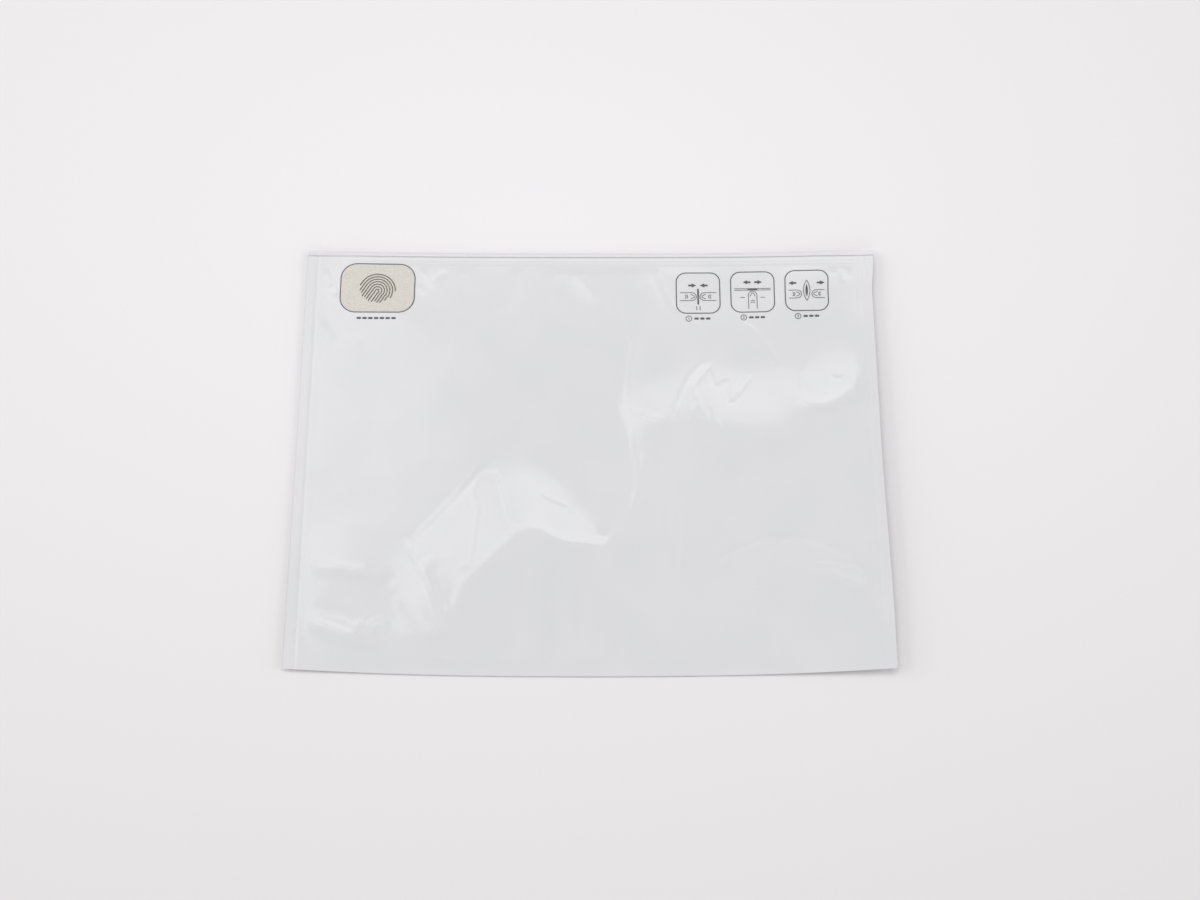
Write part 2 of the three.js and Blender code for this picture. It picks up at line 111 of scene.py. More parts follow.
# Thumb pad near the left end of the strip
PAD_WIDTH = 38.6
PAD_HEIGHT = 26.9
PAD_CORNER = 7.8
PAD_OUTLINE = 0.65
PAD_BORDER = 0.95
PAD_FROM_LEFT = 18.0
PAD_FROM_TOP = 7.2

# Thumb mark on the pad: nested arches with straight legs, clipped to a slightly ragged oval
RIDGE_COUNT = 7
RIDGE_PITCH = 1.45
RIDGE_LINE = 0.5
FIRST_RIDGE = 0.6
RIDGE_STEPS = 24
RIGHT_LEG_SHARE = 0.96
LEG_STEP = 0.4
LEG_POINTS = 40
LOOP_PLACE = (0.9, -1.4)
MARK_HALF_WIDTH = 9.8
MARK_HALF_HEIGHT = 8.6
MARK_TURN = -32
MARK_RAGGED = 0.04
RAGGED_PACE = 7
FEWEST_POINTS = 4

# Step frames near the right end of the strip
STEP_COUNT = 3
FRAME_SIZE = 23.4
FRAME_CORNER = 5.2
FRAME_BORDER = 0.75
FRAME_GAP = 5.95
FRAMES_FROM_RIGHT = 24.0
FRAMES_FROM_TOP = 11.1
FRAME_DROP_PER_STEP = 0.35

# Marks inside the frames
FINGER_WIDTH = 4.6
FINGER_GAP = 1.0
NAIL_BACK = 0.9
NAIL_LENGTH = 2.2
NAIL_HALF_WIDTH = 1.3
KNUCKLES = (0.52, 0.62)
KNUCKLE_BEND = 0.5
KNUCKLE_HALF_WIDTH = 1.1
ARROW_LENGTH = 4.2
ARROW_HEAD = 2.4
ARROW_SHAFT = 1.0
ARROW_RISE = 4.2
MARK_DROP = 2.1
MARK_MARGIN = 1.9
PINCHED_EDGE = 0.9
EDGE_TAIL = (-10.0, -7.6)
SLIDE_LINE_RISE = 1.5
SLIDE_LINE_HALF_GAP = 0.45
SLIDER_SIZE = (5.2, 1.1)
SLIDE_TICK = (4.2, 6.6)
SLIDE_TICK_DROP = 3.2
OPENING_WIDTH = 3.6
OPENING_HEIGHT = 12.0
OPENING_POINTS = 28
OPENING_HEART = (0.38, 0.62)

# Rows of plain dashes under the pad and the frames, and the frames' digits
DASH_LENGTH = 2.3
DASH_HEIGHT = 1.15
DASH_GAP = 0.8
ROW_DROP = 3.1
PAD_DASHES = 7
FRAME_DASHES = 3
DASHES_PLACE = 2.0
DIGIT_PLACE = -5.2
DIGIT_HEIGHT = 2.3
DIGIT_CIRCLE = 1.55
CIRCLE_POINTS = 24

# The camera, in millimetres and degrees, at the photograph's viewing angle
LENS = 41.8
SENSOR = 36.0
CAMERA_DISTANCE = 724.7
CAMERA_ELEVATION = 73.93
CAMERA_YAW = -0.42
CAMERA_ROLL = 0.415
CAMERA_TARGET = (5.05, 2.67, 0.0)

# The table stands this much below the bag, so that no two faces share a plane
TABLE_GAP = 0.05


def make_camera():
    """A camera above the near side of the bag, looking down at it."""
    rise = radians(CAMERA_ELEVATION)
    yaw = radians(CAMERA_YAW)
    roll = radians(CAMERA_ROLL)
    back = Vector((sin(yaw) * cos(rise), -cos(yaw) * cos(rise), sin(rise)))
    level = Vector((cos(yaw), sin(yaw), 0))
    upright = back.cross(level)
    right = cos(roll) * level + sin(roll) * upright
    up = cos(roll) * upright - sin(roll) * level
    place = (Vector(CAMERA_TARGET) + CAMERA_DISTANCE * back) * MM
    data = bpy.data.cameras.new("camera")
    data.lens = LENS
    data.sensor_width = SENSOR
    data.sensor_fit = "HORIZONTAL"
    data.clip_start = 0.01
    data.clip_end = 50
    camera = bpy.data.objects.new("camera", data)
    turn = Matrix((right, up, back)).transposed()
    camera.matrix_world = Matrix.Translation(place) @ turn.to_4x4()
    bpy.context.scene.collection.objects.link(camera)
    bpy.context.scene.camera = camera


make_camera()


def ramp(t):
    """0 below 0, 1 above 1, and smooth between."""
    s = np.clip(t, 0, 1)
    return s * s * (3 - 2 * s)


def mix(a, b, t):
    """From a at 0 to b at 1."""
    return a + (b - a) * t


def full_height(y):
    """Height of the films apart, where the bag is fullest across."""
    below = HALF_LENGTH - y
    to_lip = mix(LIP_HEIGHT, STRIP_HEIGHT, ramp(below / STRIP_MIDDLE))
    to_middle = mix(to_lip, PILLOW_HEIGHT, ramp((below - STRIP_END) / PILLOW_RUN))
    return mix(FOLD_HEIGHT, to_middle, ramp((HALF_LENGTH + y) / PILLOW_RUN))


def local_height(x, y):
    """Height of the films apart, down to the seams."""
    below = HALF_LENGTH - y
    shoulder = mix(STRIP_SHOULDER, PILLOW_SHOULDER, ramp((below - STRIP_END) / PILLOW_RUN))
    inward = np.clip((HALF_WIDTH - SEAM_WIDTH - np.abs(x)) / shoulder, 0, 1)
    return mix(SEAM_HEIGHT, full_height(y), ramp(inward))


def fold_draw(x, y):
    """How far each film draws in as it turns round the bottom fold."""
    height = local_height(x, y)
    inward = np.clip((HALF_LENGTH + y) / (height / 2), 0, 1)
    draw = height / 2 * (1 - np.sqrt(1 - (1 - inward) ** 2))
    return np.minimum(draw, (height - SEAM_HEIGHT) / 2)


def curl(x, y):
    """Lift of the sides off the table."""
    along = y / HALF_LENGTH
    shares = (along * (along + 1) / 2, 1 - along * along, along * (along - 1) / 2)
    left = sum(lift * share for lift, share in zip(LEFT_LIFT, shares))
    right = sum(lift * share for lift, share in zip(RIGHT_LIFT, shares))
    out = np.clip((np.abs(x) - FLAT_HALF_WIDTH) / (HALF_WIDTH - FLAT_HALF_WIDTH), 0, None)
    return np.where(x < 0, left, right) * out * out


def lip_rise(x, y):
    """The strip stands on the table, so the thinner back lip is held a little off it."""
    below = HALF_LENGTH - y
    strip = local_height(x, HALF_LENGTH - STRIP_MIDDLE)
    return np.where(below < STRIP_MIDDLE, np.maximum(0, (strip - local_height(x, y)) / 2), 0)


def bowed(x, y):
    """Moves points of the flat plan to their places in the bowed one."""
    share = np.abs(x / HALF_WIDTH) ** BOW_POWER
    along = (y + HALF_LENGTH) / (2 * HALF_LENGTH)
    shift = mix(BOTTOM_BOW * share, MOUTH_BOW * (share - 1), along)
    level = y / HALF_LENGTH
    low, low_end = DRAW_IN_LOW
    high, high_end = DRAW_IN_HIGH
    drawn = ramp((level - low) / (low_end - low)) * ramp((high_end - level) / (high_end - high))
    inward = RIGHT_DRAW_IN * drawn * np.clip(x / HALF_WIDTH, 0, None) ** DRAW_IN_POWER
    return x - inward, y + shift


def back_base(x, y):
    """The back film without its relief."""
    return curl(x, y) + lip_rise(x, y) + fold_draw(x, y)


def front_base(x, y):
    """The front film without its relief."""
    return curl(x, y) + lip_rise(x, y) + local_height(x, y) - fold_draw(x, y)


def looseness(x, y):
    """How much of the relief shows: none on the seams, the strip and the bottom fold."""
    from_seam = HALF_WIDTH - SEAM_WIDTH - np.abs(x)
    from_strip = HALF_LENGTH - STRIP_END - y
    from_fold = HALF_LENGTH + y - FOLD_HEIGHT / 2
    return ramp(from_seam / SEAM_FADE) * ramp(from_strip / STRIP_FADE) * ramp(from_fold / FOLD_FADE)


# Folds of the front film: lines of (x, y, height over the even pillow). The film runs straight
# from line to line. A crisp fold keeps its edge, and the others are smoothed away.
CRISP_FOLDS = {
    "left_band": [
        (-146, -54, 0.2), (-141, -57.5, 1.2), (-134, -59.5, 2.9), (-128, -60.5, 3.9), (-116, -62.5, 4.0),
        (-109.5, -64.5, 3.0), (-104, -70.5, 2.0), (-99.5, -76.5, 1.6), (-96.5, -83, 1.6), (-93, -89, 1.9),
        (-86, -93.5, 2.7), (-79.5, -94, 3.6), (-73, -91.5, 4.2)],
    "wedge_top": [(-144, -80.5, 0.2), (-134.5, -81.5, 0.5), (-123, -83, 0.4), (-118, -86, 0.4)],
    "low_wedge": [
        (-146, -83, 0.2), (-141, -85.5, 0.8), (-134.5, -89, 2.1), (-121, -94.5, 2.7), (-111, -99, 1.4)],
    "patch_upper_edge": [(-56, -4, 0.5), (-70, -22, 0.4), (-86, -39.5, 0.3), (-90.5, -45.5, 0.4)],
    "patch_lower_edge": [
        (-90.5, -45.5, 0.6), (-89.5, -55, 2.4), (-84.5, -63.5, 4.0), (-80, -73.5, 5.0), (-76.5, -84, 5.1),
        (-73, -91.5, 4.2)],
    "pocket_rim": [
        (-85.5, -56, 2.3), (-78.5, -55.5, 2.9), (-71, -57, 3.5), (-65.5, -60.5, 4.0), (-60.5, -59, 4.4)],
    "patch_crest": [
        (-73, -91.5, 4.2), (-68, -81.5, 4.3), (-63, -69, 4.6), (-57, -63, 4.8), (-51, -57, 5.3),
        (-43, -49, 5.8), (-37.5, -44, 6.1), (-30.5, -41, 6.2), (-25.5, -42, 6.3), (-19.5, -45.5, 6.2),
        (-9.5, -48.5, 5.4), (0, -48.5, 3.9), (9, -47, 1.9)],
    "field_corner": [(14, 29, 0), (19, 23.5, 1.1), (26, 18.5, 2.2), (34.5, 16, 3.0)],
    "ear_edge": [
        (115, 54, 0.1), (111.5, 45, 0.4), (110, 35, 1.1), (111, 28, 2.1), (115.5, 25.5, 2.8),
        (121, 25, 3.1), (128.5, 27.5, 3.1), (139, 35.5, 2.0), (143, 45, 0.9)],
    "low_streak": [(112, -61, 0.9), (124.5, -65, 1.5), (135, -69.5, 1.7), (145, -74, 1.0)],
    "pad_crest": [
        (-138, 63.5, 0.2), (-133, 61, 0.6), (-127, 59.5, 0.8), (-121, 61.5, 0.7), (-110, 65.5, 0.7),
        (-99.5, 73.5, 0.6), (-89.5, 82.5, 0.5), (-80.5, 90.5, 0.3), (-67, 98, 0.1)],
}
SOFT_FOLDS = {
    "field_crest": [
        (34.5, 16, 3.0), (44.5, 15.5, 3.4), (59.5, 12, 3.9), (74, 8, 4.3), (92, 8, 4.1), (102.5, 13, 3.3),
        (108, 20, 2.5)],
    "ear_top": [(118, 60, 0), (128, 58, 0), (138, 57, 0), (145, 54, 0)],
    "left_band_top": [(-146.5, -33, 0), (-130, -33, 0), (-114, -35, 0), (-98, -41, 0.1)],
    "left_band_foot": [
        (-148, -74, 0.1), (-140, -76, 0.5), (-131, -78, 0.7), (-112, -87, 0.6), (-99, -99, 0.9),
        (-80, -106, 0.8)],
    "wedge_face": [(-141, -66, 0.9), (-130, -69, 1.6), (-120, -71, 1.6), (-110, -74.5, 1.3)],
    "wedge_foot": [(-146, -94, -0.5), (-138, -99, -0.3), (-120, -106, 0.2)],
    "patch_top": [
        (-45, -3, 0.2), (-33, -3, 0.1), (-22, -8, 0.1), (-10, -16, 0.1), (-2, -30, 0.3), (7, -43, 0.6)],
    "pocket_floor": [(-76, -65, 3.1), (-73, -78, 3.6)],
    "patch_foot": [
        (-60, -98, 1.2), (-48, -80, 2.4), (-35, -67, 3.4), (-20, -66, 3.2), (-3, -66, 2.2),
        (14, -62, 1.2)],
    "bottom_swell": [(-40, -100, 1.0), (-10, -98, 1.2), (30, -96, 0.9), (70, -98, 0.6), (110, -100, 0.4)],
    "field_top": [
        (20, 38, 0), (41, 44, 0.1), (50, 51, 0.3), (63.5, 57, 0.3), (76, 47, 0.2), (96.5, 50, 0.1)],
    "field_foot": [
        (18, 4, 0), (40, -5, 1.1), (65, -12, 1.5), (90, -12, 1.5), (112, 0, 1.1), (128, 8, 0.7)],
    "ear_foot": [(126, 18, 1.0), (141, 24, 0.8), (146, 34, 0.4)],
    "streak_top": [
        (109, -56, 0.4), (119.5, -55.5, 0.3), (130, -57.5, 0.3), (139, -61, 0.3), (145.5, -65, 0.2)],
    "streak_foot": [(114, -72, 0.5), (130, -80, 0.5), (144, -86, 0.3)],
    "pad_top": [(-142, 103, 0.1), (-110, 104, 0.1), (-75, 104, 0)],
    "pad_foot": [(-134, 40, 0.4), (-105, 44, 0.5), (-75, 66, 0.4), (-60, 86, 0.1)],
}

# Valleys of the front film: how far the east and the west side reach, and (x, y, depth) points
VALLEYS = {
    "centre_fold": (18, 50, [
        (18, 106, 0.4), (15.5, 90.5, 0.7), (17, 73.5, 1.0), (20, 60.5, 1.2), (18, 49, 1.3), (17, 31, 1.2),
        (19, 19, 1.0), (20.5, 3.5, 0.6), (22.5, -10.5, 0.4), (20, -30.5, 0.25), (12, -46, 0)]),
    "bottom_fold_1": (10, 6, [(-18.5, -58, 0), (-18.5, -76, 0.75), (-18.5, -108, 0.9)]),
    "bottom_fold_2": (4, 9, [(-33, -48, 0), (-32.7, -66, 0.4), (-33, -92, 0)]),
    "bottom_fold_3": (5, 5, [(-4, -62, 0), (-4, -78, 0.4), (-4, -102, 0)]),
    "bottom_fold_4": (5, 5, [(14, -80, 0), (14, -98, 0.4), (14, -108, 0.3)]),
    "strip_gather_1": (5, 5, [(-142, 105, 0.3), (-139, 95, 0)]),
    "strip_gather_2": (5, 7, [(-89.5, 105, 0.5), (-86.5, 99, 0.4), (-83.5, 92.5, 0)]),
    "strip_gather_3": (5, 6, [(-67, 105, 0.35), (-63, 91.5, 0)]),
    "strip_gather_4": (7, 7, [(-39.5, 105, 0.35), (-41, 91.5, 0.25), (-47, 78.5, 0)]),
    "strip_gather_5": (4, 4, [(-17.5, 105, 0.4), (-19, 94, 0)]),
    "strip_gather_6": (5, 10, [(-7, 106, 0.7), (-5, 99, 0.65), (-1, 92, 0.4), (4, 84, 0)]),
    "strip_gather_7": (4, 5, [(33.5, 104, 0.35), (37.5, 90.5, 0.25), (44.5, 76.5, 0)]),
    "strip_gather_8": (4, 5, [(129.5, 105, 0.3), (132, 95, 0)]),
    "strip_gather_9": (4, 4, [(136, 105, 0.3), (138.5, 94, 0)]),
    "seam_fold_left": (5, 6, [
        (-144.5, 81.5, 0.2), (-139, 72.5, 0.4), (-134.5, 68, 0.35), (-133.5, 60.5, 0)]),
}

# Sharp creases: how far each stands up, how wide it is, and its line of (x, y)
CREASES = {
    "patch_edge_outer": (0.13, 0.9, [(-56, -4), (-70, -22), (-86, -39.5), (-90.5, -45.5)]),
    "patch_edge_inner": (-0.13, 0.9, [(-55, -6.5), (-69, -25), (-82.5, -39.5), (-86.5, -44.5)]),
    "patch_edge_low": (-0.28, 1.0, [(-90, -46), (-89.5, -55), (-84.5, -63.5), (-80, -73.5), (-76.5, -84),
        (-73, -91.5)]),
    "patch_line_1": (0.16, 0.9, [(-55.5, -9.5), (-60, -18.5), (-59.5, -24.5), (-57.5, -31), (-59, -43),
        (-60, -54), (-63, -61.5)]),
    "patch_line_2": (0.18, 0.9, [(-52.5, -7.5), (-47.5, -12), (-45, -21), (-42, -32), (-39, -40),
        (-38, -43.5)]),
    "patch_line_3": (-0.16, 0.9, [(-60, -11.5), (-55, -8), (-51, -9), (-47, -7)]),
    "patch_line_4": (0.18, 0.9, [(-22.5, -18.5), (-23.5, -22.5), (-17, -25.5), (-10.5, -28.5)]),
    "pocket_rim": (0.14, 1.0, [(-85.5, -56), (-78.5, -55.5), (-71, -57), (-65.5, -60.5), (-60.5, -59)]),
    "pocket_line": (0.15, 1.0, [(-79.5, -71), (-73, -76), (-70, -84.5)]),
    "field_line_1": (-0.22, 1.1, [(63.5, 53), (54.5, 45.5), (49, 36), (45, 27), (44, 20), (46.5, 14)]),
    "field_line_2": (0.2, 1.0, [(65.5, 51), (59, 43), (54.5, 36), (56.5, 28), (58.5, 20)]),
    "field_line_3": (-0.22, 1.0, [(64, 48), (64.5, 38.5), (67.5, 36), (71.5, 39.5), (72.5, 27), (76, 28.5),
        (81, 34), (84.5, 40)]),
    "field_line_4": (0.18, 1.0, [(85, 43), (81, 37), (79, 30)]),
    "field_line_5": (0.16, 1.0, [(56.5, 29), (53, 20), (53.5, 11), (56.5, 3.5)]),
    "field_line_6": (-0.14, 1.0, [(61.5, 26), (63, 17), (65, 8)]),
    "field_line_8": (-0.18, 1.0, [(51, 24), (53, 17), (55.5, 10.5), (60.5, 7), (65.5, 8)]),
    "field_line_9": (0.15, 1.0, [(64.5, 18.5), (68, 13), (69, 8)]),
    "field_line_10": (-0.14, 1.1, [(25, 22), (30, 18.5), (40, 16)]),
    "field_line_7": (0.15, 1.2, [(79.5, 73.5), (88, 67.5), (94.5, 58), (101, 49.5)]),
    "ear_edge": (-0.13, 0.9, [(115, 54), (111.5, 45), (110, 35), (111, 28), (115.5, 25.5), (121, 25),
        (128.5, 27.5), (139, 35.5), (143, 45)]),
    "ear_dimple": (-0.16, 1.0, [(126.5, 43), (129.5, 40.5), (132.5, 41.5)]),
    "centre_line": (0.1, 1.0, [(19.5, 102), (17, 90.5), (18.5, 74.5), (22, 61), (20, 49), (19, 31),
        (21, 21), (22, 3.5), (24, -11.5), (20.5, -31.5), (14, -45)]),
    "centre_line_low": (0.13, 1.0, [(28.5, 3.5), (26, -12), (21.5, -30)]),
    "low_hook_1": (-0.19, 1.0, [(41.5, -22.5), (38.5, -36), (41, -46.5), (43, -58.5), (44, -67)]),
    "low_hook_2": (0.16, 1.0, [(46.5, -27.5), (47, -43), (46, -60.5), (44.5, -67)]),
    "low_hook_3": (-0.15, 1.0, [(47, -13), (51, -31), (55, -45.5)]),
    "low_arc_1": (-0.3, 2.0, [(55, -66), (65, -56), (76, -50), (91, -45), (110, -45), (126, -51),
        (140, -62)]),
    "low_arc_2": (-0.18, 1.3, [(84.5, -54), (89, -51), (97.5, -46.5), (104.5, -43)]),
    "streak_edge": (-0.18, 1.0, [(109, -56.5), (119.5, -56), (130, -58), (139, -61), (145.5, -65)]),
    "pad_corner_line": (0.15, 0.9, [(-129, 61), (-125.5, 62), (-122.5, 60)]),
    "corner_wrinkle_1": (-0.5, 1.3, [(-142, 105), (-140.5, 100.5), (-138.5, 95)]),
    "corner_wrinkle_2": (0.45, 1.4, [(-146.5, 98), (-142.5, 98.5), (-138.5, 94)]),
    "corner_wrinkle_3": (0.35, 1.4, [(-144.5, 92.5), (-135.5, 88.5)]),
    "pad_wrinkle_1": (-0.18, 1.5, [(-90, 105), (-88, 100.5), (-86, 96)]),
    "pad_wrinkle_2": (0.17, 1.5, [(-86, 96), (-81.5, 99.5), (-77, 102.5)]),
    "pad_wrinkle_3": (-0.2, 1.3, [(-93, 94), (-89, 89.5)]),
    "end_wrinkle_1": (-0.25, 1.2, [(130.5, 105.5), (131, 100)]),
    "end_wrinkle_2": (-0.3, 1.3, [(137, 106), (138.5, 102), (139.5, 98.5)]),
    "end_wrinkle_3": (0.2, 1.5, [(134, 104), (136, 95)]),
    "gather_line_1": (0.16, 1.1, [(36.5, 102), (40, 90.5), (47, 77.5)]),
    "wedge_fold_1": (0.14, 0.9, [(-121, -81.5), (-117, -87.5), (-116, -94.5)]),
    "wedge_fold_2": (-0.13, 0.9, [(-114, -89.5), (-110, -85), (-104.5, -83.5), (-100, -87.5),
        (-99, -94.5)]),
    "wedge_fold_3": (0.12, 0.9, [(-109, -96.5), (-108.5, -90.5), (-103.5, -89), (-101, -92.5)]),
}

# How folds, valleys and creases are rounded, and the share of a crease's length that fades at each end
CRISP_ROUNDING = 1.2
CRISP_REACH = 6.0
SOFT_ROUNDING = 6.0
VALLEY_ROUNDING = 1.2
VALLEY_SHARPNESS = 1.5
CREASE_FADE = 0.18
CURVE_STEP = 3.0
BLUR_REACH = 3
FLANK_REACH = 4

# Smooth random relief of the front film: heights, sizes and seeds. Crumples lie slanted on the left.
WAVE_HEIGHT = 0.16
WAVE_SCALE = 38.0
WAVE_SEED = 3.1
RIPPLE_HEIGHT = 0.035
RIPPLE_SCALE = 11.0
RIPPLE_SEED = 7.7
CRUMPLE_HEIGHT = 0.09
CRUMPLE_SCALE = (34.0, 9.0)
CRUMPLE_SEED = 5.2
CRUMPLE_SLANT = 0.12
CRUMPLE_START = -25.0
CRUMPLE_RUN = 80.0

# The back film's long middle fold, as (x, y, height) points, and its random relief
BACK_FOLD = [(14, 104, 0.5), (17, 40, 0.9), (18, -30, 0.7), (12, -80, 0)]
BACK_FOLD_RUN = 12.0
BACK_WAVE_HEIGHT = 0.5
BACK_WAVE_SCALE = 30.0
BACK_WAVE_SEED = 12.4

# The relief fades over these distances from the seams, the strip and the bottom fold
SEAM_FADE = 9.0
STRIP_FADE = 5.0
FOLD_FADE = 9.0

# The films never touch: the front sinks and the back rises by no more than these shares of the gap
FRONT_SINK = 0.6
BACK_RISE = 0.3

# The strip pressed through the front film: two ribs, at distances from its edges, and its lower edge
RIB_HEIGHT = 0.028
RIB_WIDTH = 0.6
RIB_FROM_TOP = 0.8
RIB_FROM_END = 1.2
STRIP_EDGE_DEPTH = 0.02
STRIP_EDGE_WIDTH = 0.8
RIB_FADE = 2.0

# The seams' fine cross ribs and the line along their inner edge
SEAM_RIB_HEIGHT = 0.006
SEAM_RIB_PITCH = 2.1
SEAM_LINE_DEPTH = 0.11
SEAM_LINE_WIDTH = 0.8

# The mouth between the lips: it narrows inwards and closes towards the strip's welded ends
LEAST_GAP = 0.02
DEEP_GAP_SHARE = 0.35
MOUTH_END_RUN = 3.0


def drawn_through(line):
    """A smooth curve through given points, with whatever values follow x and y."""
    points = np.array(line, dtype=float)
    if len(points) == 2:
        return points
    padded = np.vstack([2 * points[0] - points[1], points, 2 * points[-1] - points[-2]])
    result = []
    for i in range(1, len(padded) - 2):
        a, b, c, d = padded[i - 1:i + 3]
        steps = max(2, int(np.hypot(*(c - b)[:2]) / CURVE_STEP))
        for t in np.arange(steps) / steps:
            result.append(0.5 * (2 * b + (c - a) * t + (2 * a - 5 * b + 4 * c - d) * t ** 2
                                 + (3 * b - a - 3 * c + d) * t ** 3))
    result.append(points[-1])
    return np.array(result)


def follow(x, y, curve):
    """Signed distance to a curve, positive on its left-hand side, the place along it from 0 to 1,
    and the curve's own values there."""
    best = np.full(x.shape, np.inf)
    side = np.ones(x.shape)
    place = np.zeros(x.shape)
    spans = len(curve) - 1
    for i in range(spans):
        a, b = curve[i, :2], curve[i + 1, :2]
        run = b - a
        t = np.clip(((x - a[0]) * run[0] + (y - a[1]) * run[1]) / (run @ run), 0, 1)
        away = np.hypot(x - a[0] - t * run[0], y - a[1] - t * run[1])
        nearer = away < best
        best = np.where(nearer, away, best)
        turn = run[0] * (y - a[1]) - run[1] * (x - a[0])
        side = np.where(nearer, np.where(turn < 0, -1.0, 1.0), side)
        place = np.where(nearer, (i + t) / spans, place)
    value = np.interp(place, np.linspace(0, 1, spans + 1), curve[:, -1])
    return side * best, place, value


def window_over(x, y, low, high):
    """Indices of the grid's columns and rows that pass through a rectangle."""
    columns = np.where((x.max(axis=1) >= low[0]) & (x.min(axis=1) <= high[0]))[0]
    rows = np.where((y.max(axis=0) >= low[1]) & (y.min(axis=0) <= high[1]))[0]
    if not len(columns) or not len(rows):
        return slice(0, 0), slice(0, 0)
    return slice(columns[0], columns[-1] + 1), slice(rows[0], rows[-1] + 1)


def within(x, y, curve, reach):
    """Indices of the grid's columns and rows that a curve can touch."""
    low, high = curve[:, :2].min(axis=0) - reach, curve[:, :2].max(axis=0) + reach
    return window_over(x, y, low, high)


def two_sided(away, left_run, right_run):
    """1 on a valley's line, falling to 0 over its own run on each side."""
    left = np.clip(1 - away / left_run, 0, 1) ** VALLEY_SHARPNESS
    right = np.clip(1 + away / right_run, 0, 1) ** VALLEY_SHARPNESS
    return np.where(away > 0, left, right)


def softened(height, radius):
    """Heights on an even grid, blurred over a radius given in grid steps."""
    reach = int(BLUR_REACH * radius) + 1
    weights = np.exp(-0.5 * (np.arange(-reach, reach + 1) / radius) ** 2)
    weights /= weights.sum()
    for axis in (0, 1):
        widths = [(reach, reach) if k == axis else (0, 0) for k in (0, 1)]
        wide = np.pad(height, widths, mode="edge")
        length = height.shape[axis]
        height = sum(w * np.take(wide, range(k, k + length), axis=axis) for k, w in enumerate(weights))
    return height


def film_noise(x, y, scale, seed):
    """Smooth random heights from -1 to 1 over the film, at one scale or one each for x and y."""
    across, along = np.broadcast_to(scale, 2)
    flat = [noise.noise((u / across, v / along, seed)) for u, v in zip(x.ravel(), y.ravel())]
    return np.array(flat).reshape(x.shape)


def fold_net(merge=0.01):
    """Triangles between the fold lines: corners in the plan, their heights, and indices in threes."""
    edge, top, foot = HALF_WIDTH - SEAM_WIDTH, HALF_LENGTH - STRIP_END, -HALF_LENGTH
    points = [(-edge, top, 0), (-edge, foot, 0), (edge, foot, 0), (edge, top, 0)]
    links = [(0, 1), (1, 2), (2, 3), (3, 0)]
    for line in (*CRISP_FOLDS.values(), *SOFT_FOLDS.values()):
        start = len(points)
        points.extend(line)
        links.extend((i, i + 1) for i in range(start, len(points) - 1))
    flat = [Vector(point[:2]) for point in points]
    corners, _, faces, sources, *_ = geometry.delaunay_2d_cdt(flat, links, [], 0, merge)
    heights = [points[source[0]][2] if source else 0 for source in sources]
    return np.array([tuple(corner) for corner in corners]), np.array(heights), faces


def faceted_relief(x, y, sliver=1e-9, slack=1e-6):
    """Heights over the fold net, straight from corner to corner of its triangles."""
    corners, heights, faces = fold_net()
    z = np.zeros(x.shape)
    for face in faces:
        triangle = corners[list(face)]
        a, b, c = triangle
        area = (b[0] - a[0]) * (c[1] - a[1]) - (c[0] - a[0]) * (b[1] - a[1])
        if abs(area) < sliver:
            continue
        window = window_over(x, y, triangle.min(axis=0), triangle.max(axis=0))
        u, v = x[window] - a[0], y[window] - a[1]
        s = (u * (c[1] - a[1]) - v * (c[0] - a[0])) / area
        t = (v * (b[0] - a[0]) - u * (b[1] - a[1])) / area
        inside = (s >= -slack) & (t >= -slack) & (s + t <= 1 + slack)
        start, *ends = heights[list(face)]
        level = start + s * (ends[0] - start) + t * (ends[1] - start)
        z[window] = np.where(inside, level, z[window])
    return z


def broad_relief(x, y):
    """Folds and valleys of the front film, on an even grid."""
    faceted = faceted_relief(x, y)
    crisp = softened(faceted, CRISP_ROUNDING / FRONT_STEP)
    soft = softened(faceted, SOFT_ROUNDING / FRONT_STEP)
    nearest = np.full(x.shape, np.inf)
    for line in CRISP_FOLDS.values():
        curve = np.array(line, dtype=float)
        window = within(x, y, curve, FLANK_REACH * CRISP_REACH)
        away, _, _ = follow(x[window], y[window], curve)
        nearest[window] = np.minimum(nearest[window], np.abs(away))
    z = mix(soft, crisp, np.exp(-(nearest / CRISP_REACH) ** 2))
    hollows = np.zeros(x.shape)
    for east_run, west_run, line in VALLEYS.values():
        curve = drawn_through(line)
        window = within(x, y, curve, max(east_run, west_run))
        away, _, depth = follow(x[window], y[window], curve)
        hollows[window] += depth * two_sided(away, east_run, west_run)
    return z - softened(hollows, VALLEY_ROUNDING / FRONT_STEP)


def sharp_relief(x, y):
    """Thin creases that stand up or sink along given lines and fade at their ends."""
    z = np.zeros(x.shape)
    for height, width, line in CREASES.values():
        curve = drawn_through([(*point, 0) for point in line])
        window = within(x, y, curve, FLANK_REACH * width)
        away, place, _ = follow(x[window], y[window], curve)
        fade = ramp(np.minimum(place, 1 - place) / CREASE_FADE)
        z[window] += height * fade * np.exp(-(away / width) ** 2)
    return z


def strip_relief(x, y):
    """The strip's ribs and lower edge pressed through the front film, and the lip's upturned rim."""
    below = HALF_LENGTH - y
    inside = ramp((HALF_WIDTH - SEAM_WIDTH - STRIP_WELD - np.abs(x)) / RIB_FADE)
    places = (STRIP_TOP + RIB_FROM_TOP, STRIP_END - RIB_FROM_END)
    ribs = sum(np.exp(-((below - place) / RIB_WIDTH) ** 2) for place in places)
    edge = np.exp(-((below - STRIP_END) / STRIP_EDGE_WIDTH) ** 2)
    rim = ramp((LIP_STEP + LIP_RIM - below) / LIP_RIM)
    return inside * (RIB_HEIGHT * ribs - STRIP_EDGE_DEPTH * edge + LIP_UPTURN * rim)


